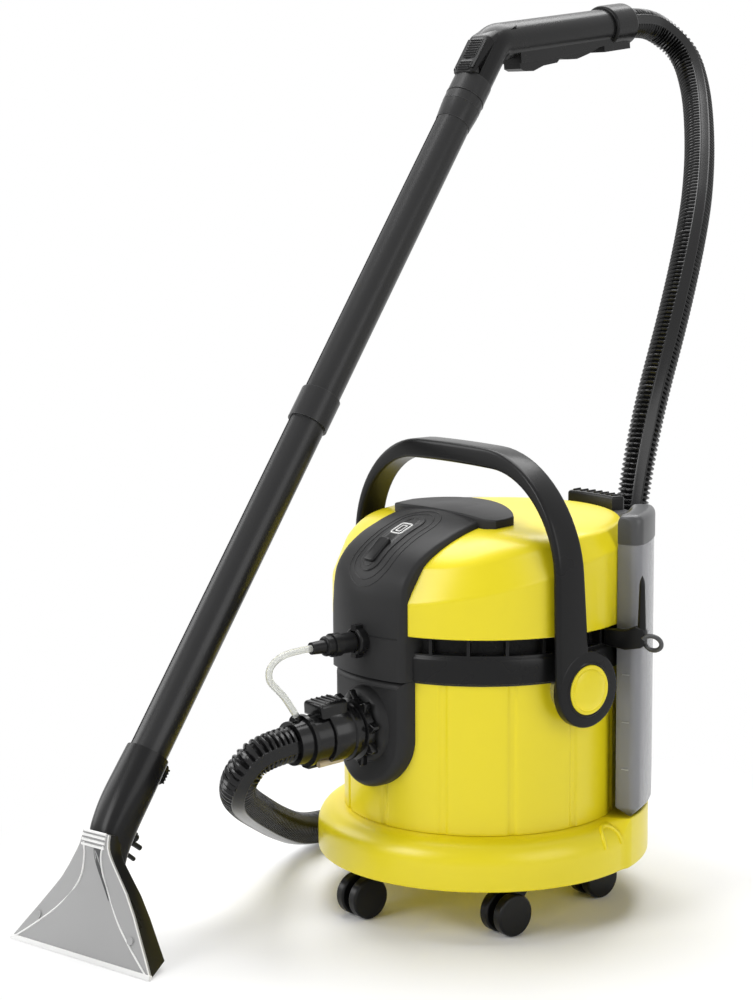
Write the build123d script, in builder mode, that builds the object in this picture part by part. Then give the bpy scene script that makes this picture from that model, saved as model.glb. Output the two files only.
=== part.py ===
"""Spray extraction carpet cleaner: a wheeled suction machine, its ribbed hose and its floor wand.

Millimetres, +Z up, origin on the floor below the middle of the base. The console faces -Y.
"""
import math
import os

from build123d import *

os.makedirs("parts", exist_ok=True)

# Fits
seat_gap = 0.3
running_fit = 0.05
push_fit = 0.2

# Base
base_radius = 160.0
base_bottom = 48.0
base_top = 94.0
base_wall = 4.0
base_shoulder = 22.0
base_edge = 4.0
tank_seat_angle = 19.0
tank_seat_width = 24.0
tank_seat_bulge = 4.0
tank_seat_rim = 3.0

# Castors
castor_count = 5
castor_circle = 123.0
castor_trail = 17.0
castor_first_angle = -95.0
wheel_diameter = 40.0
wheel_width = 11.0
wheel_edge = 2.5
web_width = 7.0
web_side_gap = 0.6
axle_diameter = 6.0
axle_boss = 9.6
stem_diameter = 10.0
stem_length = 24.0
castor_collar = 12.0
castor_collar_height = 4.0
stem_boss_wall = 7.0

# Waste tank, its seal and the black collar above it
tub_radius = 134.0
tub_wall = 4.0
tub_height = 142.0
rib_count = 13
rib_radius = 6.0
rib_depth = 1.5
rib_end = 6.0
seal_height = 2.0
collar_radius = 139.0
collar_wall = 4.0
collar_height = 43.0
band_height = 25.0
band_step = 2.0
deck_level = 12.0
deck_thickness = 4.0
intake_diameter = 28.0
vent_width = 13.0
vent_height = 12.0
vent_drop = 4.0
vent_pitch_angle = 7
pivot_blank_angle = 10
console_blank_angle = 24

# Yellow head
head_radius = 144.0
head_wall = 3.0
head_tilt = 11.3
crease_radius = 146.0
crown_radius = 134.0
crown_step = 24.0
crown_rise = 45.0
head_crease = 336.0
head_flange_width = 10.0
head_flange_height = 3.0

# Console
console_half_width = 52.0
console_front = 150.0
console_depth = 7.0
console_edge = 6.0
panel_lobe_drop = 107.0
panel_front = 148.0
panel_edge = 8.0
parting_gap = 0.4

# Power switch
switch_length = 78.0
switch_width = 30.0
switch_depth = 5.0
bezel_height = 4.0
rocker_length = 32.0
rocker_width = 15.0
rocker_height = 9.0
rocker_offset = 17.0
rocker_gap = 0.8
rocker_pin_diameter = 3.0
rocker_pin_engagement = 2.0

# Suction inlet and hose couplings
inlet_height = 190.0
inlet_droop = 3.0
inlet_bore = 40.0
spigot_wall = 3.5
spigot_inside = 24.0
boss_diameter = 84.0
boss_length = 30.0
boss_taper = 16.0
coupling_length = 24.0
coupling_diameter = 60.0
coupling_lugs = 8
lug_width = 9.0
lug_height = 4.0
tab_length = 26.0
tab_width = 16.0
tab_height = 7.0
cuff_length = 35.0
cuff_diameter = 45.0
cuff_taper = 3.0
nipple_diameter = 11.0
nipple_lean = 37.0
nipple_setback = 22.0
nipple_stand = 6.0

# Spray line couplings
spray_height = 272.0
spray_offset = 4.0
spray_socket_diameter = 26.0
spray_socket_length = 9.0
spray_plug_diameter = 19.0
spray_plug_length = 34.0
spray_nose_diameter = 13.0
spray_nose_length = 14.0
release_tab_width = 7.0
release_tab_height = 5.2
release_tab_travel = 1.5
spray_tube_diameter = 6.5
spray_tube_bore = 4.0

# Carrying bail
pivot_height = 230.0
pivot_diameter = 22.0
pivot_flange = 54.0
bail_clearance = 1.0
bail_thickness = 9.0
bail_lobe = 36.0
bail_foot_width = 40.0
bail_top_width = 27.0
bail_top_shift = 26.0
bail_height = 213.0
bail_corner = 105.0
bail_bar = 19.0
bail_arch = 6.0
cap_diameter = 46.0
cap_depth = 5.0
cap_crown = 1.6

# Clear water tank
water_clearance = 1.0
water_outer = 167.0
water_start_angle = 22.0
water_corner = 9.0
water_foot = 9.5
water_height = 264.0
water_cap_height = 28.0
water_wall = 2.5
grip_bar_length = 64.0
grip_bar_height = 15.0
grip_ribs = 7
valve_diameter = 12.0

# Cable hook
hook_angle = 18.0
hook_level = 261.0
hook_finger = 9.0
hook_finger_height = 72.0
hook_ring = 13.0
hook_wire = 6.0

# Motor, fan, pump and float
fan_diameter = 104.0
fan_height = 16.0
fan_blades = 9
fan_blade = 2.5
fan_plate = 2.5
fan_housing_wall = 3.0
fan_clearance = 3.0
motor_diameter = 78.0
motor_height = 42.0
shaft_diameter = 8.0
bearing_diameter = 22.0
bearing_height = 7.0
pump_diameter = 40.0
pump_length = 62.0
pump_radius = 98.0
pump_angle = 45.0
float_cage_diameter = 62.0
float_cage_wall = 2.5
float_cage_depth = 58.0
float_slots = 6
float_slot_width = 18.0
float_diameter = 40.0

# Wand
lip_x = -74.0
lip_y = -415.0
wand_yaw = 13.1
tube_angle = 51.2
nozzle_width = 192.0
nozzle_tall = 108.0
nozzle_slope = 72.0
nozzle_neck_width = 36.0
nozzle_depth = 30.0
channel_depth = 9.0
channel_margin = 11.0
window_thickness = 4.0
lip_height = 4.0
lip_depth = 2.5
neck_s = 94.0
neck_z = 172.0
neck_diameter = 42.0
neck_length = 92.0
screw_head = 7.0
screw_height = 2.0
screw_shank = 4.0
screw_length = 10.0
screw_boss = 10.0
screw_low_spread = 60.0
screw_low_level = 29.0
screw_high_spread = 21.0
screw_high_level = 88.0
jet_diameter = 8.0
jet_length = 14.0
jet_distance = 71.0
latch_length = 20.0
latch_width = 16.0
latch_height = 7.0
latch_travel = 2.0

tube_diameter = 37.0
tube_wall = 2.0
tube_length = 401.0
socket_depth = 40.0
socket_diameter = 41.5
socket_length = 34.0
spigot_diameter = 34.0
groove_width = 3.0
groove_depth = 0.8
groove_spread = 11.0
groove_angle = 230.0
button_diameter = 9.0
button_height = 4.0

# Wand handle
handle_diameter = 40.0
elbow_run = 56.0
elbow_radius = 26.0
grip_rise = 7.0
grip_length = 256.0
tail_diameter = 48.0
tail_length = 46.0
tail_dome = 12.0
block_drop = 27.0
block_length = 35.0
cheek_start = 30.0
cheek_length = 162.0
cheek_width = 30.0
cheek_drop = 5.0
trigger_start = 33.0
trigger_length = 153.0
trigger_width = 22.0
trigger_drop = 6.0
trigger_stroke = 6.0
trigger_contour = [
    (0.0, 11.0),
    (7.0, 14.0),
    (24.0, 15.5),
    (43.0, 11.5),
    (70.0, 10.5),
    (75.0, 7.0),
    (91.0, 9.0),
    (109.0, 10.0),
    (132.0, 6.5),
]
trigger_gap = 0.5
trigger_pin_diameter = 5.0
trigger_pin_inset = 6.0
spray_valve_diameter = 5.0
spray_valve_length = 22.0
slider_length = 28.0
slider_width = 18.0
slider_height = 6.0
slider_travel = 10.0
slider_ribs = 6
slider_groove = 1.4
pad_height = 2.5
pad_margin = 3.0
bleed_diameter = 8.0

# Hose
hose_diameter = 34.0
hose_root = 30.0
hose_bore = 25.0
hose_ribs = 150
rib_rise = 1.6
rib_crest = 4.0
hose_route = (
    (-8.0, -279.0, 163.0),
    (-29.0, -270.0, 140.0),
    (-60.0, -240.0, 118.0),
    (-97.0, -200.0, 94.0),
    (-144.0, -145.0, 62.0),
    (-192.0, -85.0, 32.0),
    (-222.0, -30.0, 18.0),
    (-240.0, 25.0, 17.5),
    (-240.0, 85.0, 18.0),
    (-212.0, 140.0, 20.0),
    (-168.0, 184.0, 30.0),
    (-124.0, 216.0, 60.0),
    (-90.0, 234.0, 112.0),
    (-66.0, 240.0, 185.0),
    (-46.0, 236.0, 275.0),
    (-38.0, 240.0, 365.0),
    (-48.0, 272.0, 455.0),
    (-72.0, 334.0, 556.0),
    (-108.0, 398.0, 650.0),
    (-152.0, 450.0, 706.0),
    (-198.0, 496.0, 756.0),
    (-238.0, 530.0, 800.0),
    (-268.0, 542.0, 842.0),
    (-286.0, 516.0, 870.0),
)
spray_route = (
    (4.0, -248.0, 266.0),
    (2.0, -259.0, 250.0),
    (1.0, -248.0, 240.0),
)
spray_lead = 20.0
bend_share = 0.45

# Levels and radii that follow
axle_height = wheel_diameter / 2
castor_collar_bottom = base_bottom - seat_gap - castor_collar_height
tub_top = base_top + tub_height
collar_bottom = tub_top + seal_height
collar_top = collar_bottom + collar_height
deck_bottom = collar_bottom + deck_level
deck_top = deck_bottom + deck_thickness
water_inner = head_radius + water_clearance
water_bottom = base_top + seat_gap
water_top = water_bottom + water_height
water_cap_top = water_top + water_cap_height
bail_inner = head_radius + bail_clearance
bail_outer = bail_inner + bail_thickness


def polar(radius, angle):
    """Point in plan at a radius and an angle in degrees."""
    return (radius * math.cos(math.radians(angle)), radius * math.sin(math.radians(angle)))


def finish_piece(piece, name):
    """Label a finished piece and write it to its own file."""
    piece.label = name
    export_step(piece, f"parts/{name}.step")


def drum(radius, low, high):
    """Upright cylinder between two levels, used to cut what seats on it."""
    with BuildPart() as form:
        with BuildSketch(Plane.XY.offset(low)):
            Circle(radius)
        extrude(amount=high - low)
    return form.part


def ring_sector(inner, outer, start, end):
    """Flat ring sector in plan, from one angle to another."""
    with BuildSketch() as sector:
        with BuildLine():
            CenterArc((0, 0), inner, start, end - start)
            CenterArc((0, 0), outer, start, end - start)
            Line(polar(inner, start), polar(outer, start))
            Line(polar(inner, end), polar(outer, end))
        make_face()
    return sector.sketch


# Base: a rounded tray, open below, with the seat of the water tank and the castor sockets
shoulder_radius = base_radius - base_shoulder
shoulder_level = base_top - base_shoulder
inner_radius = base_radius - base_wall
plate_bottom = base_top - base_wall
valve_place = polar((water_inner + water_outer) / 2, 90)
seat_outer = base_radius + tank_seat_bulge
seat_end_angle = 180 - tank_seat_angle
tank_seat = ring_sector(base_radius - tank_seat_width, base_radius, tank_seat_angle, seat_end_angle)
seat_bulge = ring_sector(inner_radius, seat_outer, tank_seat_angle, seat_end_angle)
seat_rim = ring_sector(seat_outer - tank_seat_rim, seat_outer, tank_seat_angle, seat_end_angle)

with BuildPart() as base_chassis:
    with BuildSketch(Plane.XZ):
        with BuildLine():
            Line((0, base_top), (shoulder_radius, base_top))
            CenterArc((shoulder_radius, shoulder_level), base_shoulder, 0, 90)
            Line((base_radius, shoulder_level), (base_radius, base_bottom))
            Line((base_radius, base_bottom), (inner_radius, base_bottom))
            Line((inner_radius, base_bottom), (inner_radius, shoulder_level))
            CenterArc((shoulder_radius, shoulder_level), base_shoulder - base_wall, 0, 90)
            Line((shoulder_radius, plate_bottom), (0, plate_bottom))
            Line((0, plate_bottom), (0, base_top))
        make_face()
    revolve(axis=Axis.Z)
    with BuildSketch(Plane.XY.offset(shoulder_level)):
        add(tank_seat)
    extrude(amount=base_shoulder)
    with BuildSketch(Plane.XY.offset(base_bottom + base_edge)):
        add(seat_bulge)
    extrude(amount=base_top - base_bottom - base_edge)
    with BuildSketch(Plane.XY.offset(base_top)):
        add(seat_rim)
    extrude(amount=tank_seat_rim)
    with BuildSketch(Plane.XY.offset(base_bottom)):
        with PolarLocations(castor_circle, castor_count, castor_first_angle):
            Circle(stem_diameter / 2 + stem_boss_wall)
    extrude(amount=plate_bottom - base_bottom)
    with BuildSketch(Plane.XY.offset(base_bottom)):
        with PolarLocations(castor_circle, castor_count, castor_first_angle):
            Circle(stem_diameter / 2 + running_fit)
    extrude(amount=stem_length, mode=Mode.SUBTRACT)
    with BuildSketch(Plane.XY.offset(base_top + tank_seat_rim)):
        with Locations(valve_place):
            Circle(valve_diameter / 2 + seat_gap)
    extrude(amount=-base_shoulder - tank_seat_rim, mode=Mode.SUBTRACT)
    rim_edges = base_chassis.edges().filter_by(GeomType.CIRCLE).group_by(Axis.Z)[0]
    fillet(rim_edges.sort_by(SortBy.RADIUS)[-1], min(base_edge, base_wall * 0.7))
finish_piece(base_chassis.part, "base_chassis")

# Castors: a fork that swivels in its socket and a pair of wheels on one axle
wheel_inner_face = web_width / 2 + web_side_gap
for castor_index in range(castor_count):
    castor_angle = castor_first_angle + castor_index * 360 / castor_count
    stem_x, stem_y = polar(castor_circle, castor_angle)
    axle_plane = Plane(
        origin=(stem_x, stem_y - castor_trail, axle_height), x_dir=(0, 1, 0), z_dir=(1, 0, 0)
    )
    with BuildPart() as castor_fork:
        with BuildSketch(axle_plane):
            Circle(axle_boss)
            with Locations((castor_trail, castor_collar_bottom - axle_height)):
                Rectangle(2 * castor_collar - castor_collar_height, castor_collar_height)
            make_hull()
        extrude(amount=web_width / 2, both=True)
        with BuildSketch(Plane.XY.offset(castor_collar_bottom)):
            with Locations((stem_x, stem_y)):
                Circle(castor_collar)
        extrude(amount=castor_collar_height)
        with BuildSketch(Plane.XY.offset(castor_collar_bottom + castor_collar_height)):
            with Locations((stem_x, stem_y)):
                Circle(stem_diameter / 2)
        extrude(amount=stem_length)
        with BuildSketch(axle_plane):
            Circle(axle_diameter / 2 + running_fit)
        extrude(amount=web_width, both=True, mode=Mode.SUBTRACT)
    finish_piece(castor_fork.part, f"castor_{castor_index + 1}_fork")

    with BuildPart() as castor_wheels:
        with BuildSketch(axle_plane):
            Circle(axle_diameter / 2)
        extrude(amount=wheel_inner_face + wheel_edge, both=True)
        for side in (1, -1):
            with BuildSketch(axle_plane.offset(side * wheel_inner_face)):
                Circle(wheel_diameter / 2)
            extrude(amount=side * wheel_width)
        tread_edges = castor_wheels.edges().filter_by(GeomType.CIRCLE).group_by(SortBy.RADIUS)[-1]
        fillet(tread_edges, wheel_edge)
    finish_piece(castor_wheels.part, f"castor_{castor_index + 1}_wheels")

# Waste tank: a ribbed tub with the suction inlet low on its front
inlet = Plane(
    origin=(0, -tub_radius, inlet_height),
    x_dir=(1, 0, 0),
    z_dir=(0, -math.cos(math.radians(inlet_droop)), -math.sin(math.radians(inlet_droop))),
)
tub_drum = drum(tub_radius, base_top, collar_bottom)
collar_drum = drum(collar_radius, collar_bottom, collar_top)

with BuildPart() as waste_tank:
    with BuildSketch(Plane.XY.offset(base_top)):
        Circle(tub_radius)
    extrude(amount=tub_height)
    with BuildSketch(Plane.XY.offset(base_top + tub_wall)):
        Circle(tub_radius - tub_wall)
    extrude(amount=tub_height, mode=Mode.SUBTRACT)
    with BuildSketch(Plane.XY.offset(base_top + rib_end)):
        with PolarLocations(tub_radius + rib_radius - rib_depth, rib_count):
            Circle(rib_radius)
    extrude(amount=tub_height - 2 * rib_end, mode=Mode.SUBTRACT)
    with BuildSketch(inlet):
        Circle(inlet_bore / 2)
    extrude(amount=tub_radius / 2, both=True, mode=Mode.SUBTRACT)
finish_piece(waste_tank.part, "waste_tank")

with BuildPart() as tank_seal:
    with BuildSketch(Plane.XY.offset(tub_top)):
        Circle(tub_radius)
        Circle(tub_radius - tub_wall, mode=Mode.SUBTRACT)
    extrude(amount=seal_height)
finish_piece(tank_seal.part, "tank_seal")

# Collar: the black band that carries the motor deck and lets the air out
vent_angles = [
    angle
    for angle in range(0, 360, vent_pitch_angle)
    if min(angle % 180, 180 - angle % 180) > pivot_blank_angle
    and abs(angle - 270) > console_blank_angle
]

with BuildPart() as collar_ring:
    with BuildSketch(Plane.XY.offset(collar_bottom)):
        Circle(collar_radius)
    extrude(amount=collar_height)
    with BuildSketch(Plane.XY.offset(deck_top)):
        Circle(collar_radius - collar_wall)
    extrude(amount=collar_height, mode=Mode.SUBTRACT)
    with BuildSketch(Plane.XY.offset(collar_bottom)):
        Circle(tub_radius - tub_wall)
    extrude(amount=deck_level, mode=Mode.SUBTRACT)
    with BuildSketch(Plane.XY.offset(deck_bottom)):
        Circle(intake_diameter / 2)
    extrude(amount=deck_thickness, mode=Mode.SUBTRACT)
    with BuildSketch(Plane.XY.offset(collar_top - vent_drop)):
        for angle in vent_angles:
            with Locations(Location((*polar(collar_radius, angle), 0), (0, 0, angle))):
                Rectangle(4 * collar_wall, vent_width)
    extrude(amount=-vent_height, mode=Mode.SUBTRACT)
    with BuildSketch(Plane.XY.offset(collar_bottom + band_height)):
        Circle(collar_radius + collar_wall)
        Circle(collar_radius - band_step, mode=Mode.SUBTRACT)
    extrude(amount=collar_height - band_height, mode=Mode.SUBTRACT)
finish_piece(collar_ring.part, "collar_ring")

# Head: an upright drum closed by a dome that leans towards the console
tilt_sin = math.sin(math.radians(head_tilt))
tilt_cos = math.cos(math.radians(head_tilt))
crown_sag = crown_rise - crown_step
crown_sphere = (crown_radius**2 + crown_sag**2) / (2 * crown_sag)


def crown_height(radius):
    """Height of the dome above the crease plane at a distance from its leaning axis."""
    return crown_rise - crown_sphere + math.sqrt(crown_sphere**2 - radius**2)


def head_form(inset, low):
    """Outer form of the head, drawn in all round by an inset and cut off at a level."""
    crest = (0, 0, head_crease - inset)
    axis_direction = (0, -tilt_sin, tilt_cos)
    skirt_drop = 2 * crown_rise
    skirt_spread = (crease_radius - crown_radius) / crown_step * skirt_drop
    crown_edge = (crown_radius - inset, crown_height(crown_radius - inset))
    with BuildPart() as form:
        with BuildSketch(Plane(origin=crest, x_dir=(1, 0, 0), z_dir=(0, -tilt_cos, -tilt_sin))):
            with BuildLine():
                Polyline(
                    (0, crown_rise),
                    (0, -skirt_drop),
                    (crease_radius - inset + skirt_spread, -skirt_drop),
                    crown_edge,
                )
                ThreePointArc(
                    crown_edge,
                    (crown_radius / 2, crown_height(crown_radius / 2)),
                    (0, crown_rise),
                )
            make_face()
        revolve(axis=Axis(crest, axis_direction))
        add(drum(head_radius - inset, low, head_crease + 2 * crown_rise), mode=Mode.INTERSECT)
    return form.part


head_outside = head_form(0, collar_top)
head_inside = head_form(head_wall, collar_top + head_flange_height)

with BuildPart() as head_cover:
    add(head_outside)
    add(head_inside, mode=Mode.SUBTRACT)
    with BuildSketch(Plane.XY.offset(collar_top)):
        Circle(head_radius - head_flange_width)
    extrude(amount=head_flange_height, mode=Mode.SUBTRACT)
finish_piece(head_cover.part, "head_cover")


def crest_point(radius, height):
    """Point of the middle section, forward by a radius and up by a height from the leaning crest."""
    return (
        -radius * tilt_cos - height * tilt_sin,
        head_crease - radius * tilt_sin + height * tilt_cos,
    )


# Console: the black strip that rises from the collar and lies over the dome
console_bottom = collar_bottom + parting_gap
console_side = math.sqrt(console_front**2 - console_half_width**2)
with BuildPart() as console:
    with BuildSketch(Plane.YZ):
        with BuildLine():
            strip = Spline(
                (-console_front, collar_top + console_depth),
                crest_point(crown_radius, crown_step + console_depth),
                crest_point(crown_radius / 2, crown_height(crown_radius / 2) + console_depth),
                crest_point(-console_depth, crown_rise + console_depth),
                tangents=[(0, 1), (1, 0.08)],
            )
            Polyline(
                strip @ 1,
                (console_depth, head_crease),
                (console_edge - console_front / 2, collar_top),
                (console_edge - console_front / 2, console_bottom),
                (-console_front, console_bottom),
                strip @ 0,
            )
        make_face()
    extrude(amount=console_half_width, both=True)
    add(drum(console_front, console_bottom, head_crease + 2 * crown_rise), mode=Mode.INTERSECT)
    side_edges = console.faces().sort_by(Axis.X)[0].edges() + console.faces().sort_by(Axis.X)[-1].edges()
    front_edges = side_edges.filter_by(
        lambda edge: edge.center().Y < seat_gap - console_side or edge.geom_type == GeomType.BSPLINE
    )
    fillet(front_edges, console_edge)
    add(head_outside, mode=Mode.SUBTRACT)
    add(collar_drum, mode=Mode.SUBTRACT)
    switch_low = crest_point(crown_radius, crown_step + console_depth)
    switch_high = crest_point(crown_radius / 2, crown_height(crown_radius / 2) + console_depth)
    switch_slope = math.atan2(switch_high[1] - switch_low[1], switch_high[0] - switch_low[0])
    switch_plane = Plane(
        origin=(0, (switch_low[0] + switch_high[0]) / 2, (switch_low[1] + switch_high[1]) / 2),
        x_dir=(0, math.cos(switch_slope), math.sin(switch_slope)),
        z_dir=(0, -math.sin(switch_slope), math.cos(switch_slope)),
    )
    with BuildSketch(switch_plane.offset(-switch_depth)):
        SlotOverall(switch_length, switch_width)
    extrude(amount=2 * console_depth, mode=Mode.SUBTRACT)
finish_piece(console.part, "console")

# Power switch: a dished bezel in the console and a rocker on its own pin
bezel_floor = bezel_height - switch_depth
rocker_place = (-rocker_offset, 0)
rocker_middle = switch_plane.offset(bezel_floor)
rocker_pin = rocker_middle.from_local_coords((-rocker_offset, 0, -bezel_height / 2))
pin_length = rocker_width + 2 * rocker_gap + 2 * rocker_pin_engagement

with BuildPart() as switch_bezel:
    with BuildSketch(switch_plane.offset(-switch_depth)):
        SlotOverall(switch_length - 2 * push_fit, switch_width - 2 * push_fit)
    extrude(amount=bezel_height + switch_depth / 2)
    with BuildSketch(switch_plane.offset(bezel_floor)):
        SlotOverall(switch_length - 2 * bezel_height, switch_width - 2 * bezel_height)
    extrude(amount=switch_depth, mode=Mode.SUBTRACT)
    with BuildSketch(switch_plane.offset(-switch_depth)):
        with Locations(rocker_place):
            Rectangle(rocker_length + 2 * rocker_gap, rocker_width + 2 * rocker_gap)
    extrude(amount=2 * switch_depth, mode=Mode.SUBTRACT)
    with BuildSketch(Plane(rocker_pin, z_dir=(1, 0, 0))):
        Circle(rocker_pin_diameter / 2 + running_fit)
    extrude(amount=pin_length / 2, both=True, mode=Mode.SUBTRACT)
finish_piece(switch_bezel.part, "switch_bezel")

with BuildPart() as power_rocker:
    with BuildSketch(Plane(rocker_pin, x_dir=switch_plane.x_dir, z_dir=(1, 0, 0))):
        with BuildLine():
            Polyline(
                (-rocker_length / 2, 0),
                (rocker_length / 2, 0),
                (rocker_length / 2, rocker_height / 2),
                (0, rocker_height / 3),
                (-rocker_length / 2, rocker_height / 2),
                close=True,
            )
        make_face()
    extrude(amount=rocker_width / 2, both=True)
    with BuildSketch(Plane(rocker_pin, z_dir=(1, 0, 0))):
        Circle(rocker_pin_diameter / 2)
    extrude(amount=pin_length / 2 - push_fit, both=True)
finish_piece(power_rocker.part, "power_rocker")

# Inlet panel: the lower lobe of the console with the cone that takes the hose
panel_top = collar_bottom - parting_gap
lobe_middle = panel_top - panel_lobe_drop + console_half_width
boss_start = panel_front - tub_radius - panel_edge
boss_end = boss_start + boss_length

with BuildPart() as inlet_panel:
    with BuildSketch(Plane.XZ.offset(tub_radius / 2)):
        with Locations((0, lobe_middle)):
            Circle(console_half_width)
        with Locations((0, (panel_top + lobe_middle) / 2)):
            Rectangle(2 * console_half_width, panel_top - lobe_middle)
    extrude(amount=panel_front - tub_radius / 2)
    add(drum(panel_front, base_top, panel_top), mode=Mode.INTERSECT)
    rim = inlet_panel.faces().sort_by(Axis.Y)[0].edges()
    fillet(rim.sort_by(Axis.Z)[:-1], panel_edge)
    add(tub_drum, mode=Mode.SUBTRACT)
    with BuildSketch(inlet.offset(boss_start)):
        Circle(boss_diameter / 2)
    extrude(amount=boss_length, taper=boss_taper)
    with BuildSketch(inlet):
        Circle(inlet_bore / 2)
    extrude(amount=tub_radius / 2, both=True, mode=Mode.SUBTRACT)
finish_piece(inlet_panel.part, "inlet_panel")

spigot_radius = inlet_bore / 2 - push_fit
with BuildPart() as inlet_spigot:
    with BuildSketch(inlet.offset(-spigot_inside)):
        Circle(spigot_radius)
    extrude(amount=spigot_inside + boss_end)
    with BuildSketch(inlet.offset(-spigot_inside)):
        Circle(spigot_radius - spigot_wall)
    extrude(amount=spigot_inside + boss_end, mode=Mode.SUBTRACT)
finish_piece(inlet_spigot.part, "inlet_spigot")

# Hose couplings at the machine
coupling_end = boss_end + coupling_length
with BuildPart() as suction_coupling:
    with BuildSketch(inlet.offset(boss_end)):
        Circle(coupling_diameter / 2)
    extrude(amount=coupling_length)
    fillet(suction_coupling.edges(), lug_height / 2)
    with BuildSketch(inlet.offset(boss_end + lug_height)):
        with PolarLocations(coupling_diameter / 2, coupling_lugs, 360 / coupling_lugs / 2):
            Rectangle(2 * lug_height, lug_width)
    extrude(amount=coupling_length - 2 * lug_height)
    with BuildSketch(inlet.offset(boss_end + lug_height)):
        with Locations((0, coupling_diameter / 2 + tab_height / 4)):
            RectangleRounded(tab_width, tab_height, tab_height / 4)
    extrude(amount=tab_length)
    with BuildSketch(inlet.offset(boss_end)):
        Circle(hose_bore / 2)
    extrude(amount=coupling_length, mode=Mode.SUBTRACT)
finish_piece(suction_coupling.part, "suction_coupling")

cuff_end = coupling_end + cuff_length
nipple_length = cuff_diameter / 2 + nipple_stand
nipple = Plane(
    origin=inlet.from_local_coords((0, 0, cuff_end - nipple_setback)),
    x_dir=(1, 0, 0),
    z_dir=(0, -math.sin(math.radians(nipple_lean)), math.cos(math.radians(nipple_lean))),
)
with BuildPart() as machine_cuff:
    with BuildSketch(inlet.offset(coupling_end)):
        Circle(cuff_diameter / 2)
    extrude(amount=cuff_length, taper=cuff_taper)
    with BuildSketch(inlet.offset(coupling_end + cuff_length / 2)):
        Circle(cuff_diameter / 2 + lug_height / 2)
    extrude(amount=lug_height)
    with BuildSketch(nipple):
        Circle(nipple_diameter / 2)
    extrude(amount=nipple_length)
    with BuildSketch(inlet.offset(coupling_end)):
        Circle(hose_bore / 2)
    extrude(amount=cuff_length, mode=Mode.SUBTRACT)
finish_piece(machine_cuff.part, "machine_cuff")

# Spray line: its socket, plug, release tabs and clear tube
spray = Plane(
    origin=(spray_offset, -console_front, spray_height), x_dir=(1, 0, 0), z_dir=(0, -1, 0)
)
spray_plug_end = spray_socket_length + spray_plug_length
spray_nose_end = spray_plug_end + spray_nose_length
tab_top = spray_socket_diameter / 2 + release_tab_height / 2
tab_slot = tab_top - release_tab_height - release_tab_travel - seat_gap
with BuildPart() as spray_socket:
    with BuildSketch(spray):
        Circle(spray_socket_diameter / 2)
    extrude(amount=spray_socket_length)
    fillet(spray_socket.edges().sort_by(Axis.Y)[0], spray_socket_length / 4)
    with BuildSketch(spray):
        with Locations((0, tab_slot + tab_top), (0, -tab_slot - tab_top)):
            Rectangle(release_tab_width + 2 * seat_gap, 2 * tab_top)
    extrude(amount=spray_socket_length, mode=Mode.SUBTRACT)
finish_piece(spray_socket.part, "spray_socket")

for tab_name, side in (("upper", 1), ("lower", -1)):
    with BuildPart() as release_tab:
        with BuildSketch(spray.offset(seat_gap)):
            with Locations((0, side * (tab_top - release_tab_height / 2))):
                RectangleRounded(release_tab_width, release_tab_height, release_tab_width / 8)
        extrude(amount=spray_socket_length - 2 * seat_gap)
    finish_piece(release_tab.part, f"spray_tab_{tab_name}")

with BuildPart() as spray_plug:
    with BuildSketch(spray.offset(spray_socket_length)):
        Circle(spray_plug_diameter / 2)
    extrude(amount=spray_plug_length)
    fillet(spray_plug.edges().filter_by(GeomType.CIRCLE), spray_plug_diameter / 8)
    with BuildSketch(spray.offset(spray_plug_end)):
        Circle(spray_nose_diameter / 2)
    extrude(amount=spray_nose_length, taper=cuff_taper)
    with BuildSketch(spray.offset(spray_socket_length + spray_plug_length / 2)):
        Circle(spray_plug_diameter / 2 + spray_plug_diameter / 12)
    extrude(amount=spray_plug_length / 4)
finish_piece(spray_plug.part, "spray_plug")

# Bail handle on its two pivots
bail_front = Plane(origin=(0, 0, pivot_height), x_dir=(1, 0, 0), z_dir=(0, -1, 0))
bail_side = Plane(origin=(0, 0, pivot_height), x_dir=(0, 1, 0), z_dir=(1, 0, 0))
bar_under = bail_height - bail_bar
with BuildPart() as bail_handle:
    with BuildSketch(bail_front):
        with BuildLine():
            outer_bend = FilletPolyline(
                (-bail_outer, -bail_lobe),
                (-bail_outer, bail_height),
                (0, bail_height + bail_arch),
                (bail_outer, bail_height),
                (bail_outer, -bail_lobe),
                radius=[bail_corner, 2 * bail_corner, bail_corner],
            )
            inner_bend = FilletPolyline(
                (bail_inner, -bail_lobe),
                (bail_inner, bar_under),
                (0, bar_under + bail_arch),
                (-bail_inner, bar_under),
                (-bail_inner, -bail_lobe),
                radius=[bail_corner - bail_bar, 2 * bail_corner, bail_corner - bail_bar],
            )
            Line(outer_bend @ 1, inner_bend @ 0)
            Line(inner_bend @ 1, outer_bend @ 0)
        make_face()
    extrude(amount=2 * bail_lobe, both=True)
    with BuildSketch(bail_side.offset(-2 * bail_outer)):
        Circle(bail_lobe)
        with BuildLine():
            Polyline(
                (-bail_lobe, 0),
                (-bail_top_shift - bail_top_width / 2, bail_height + bail_arch),
                (-bail_top_shift + bail_top_width / 2, bail_height + bail_arch),
                (bail_foot_width - bail_lobe, 0),
                close=True,
            )
        make_face()
    extrude(amount=4 * bail_outer, mode=Mode.INTERSECT)
    with BuildSketch(bail_side):
        Circle(pivot_diameter / 2 + running_fit)
    extrude(amount=2 * bail_outer, both=True, mode=Mode.SUBTRACT)
    for side in (1, -1):
        with BuildSketch(bail_side.offset(side * bail_outer)):
            Circle(cap_diameter / 2 + seat_gap)
        extrude(amount=-side * cap_depth, mode=Mode.SUBTRACT)
finish_piece(bail_handle.part, "bail_handle")

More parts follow.
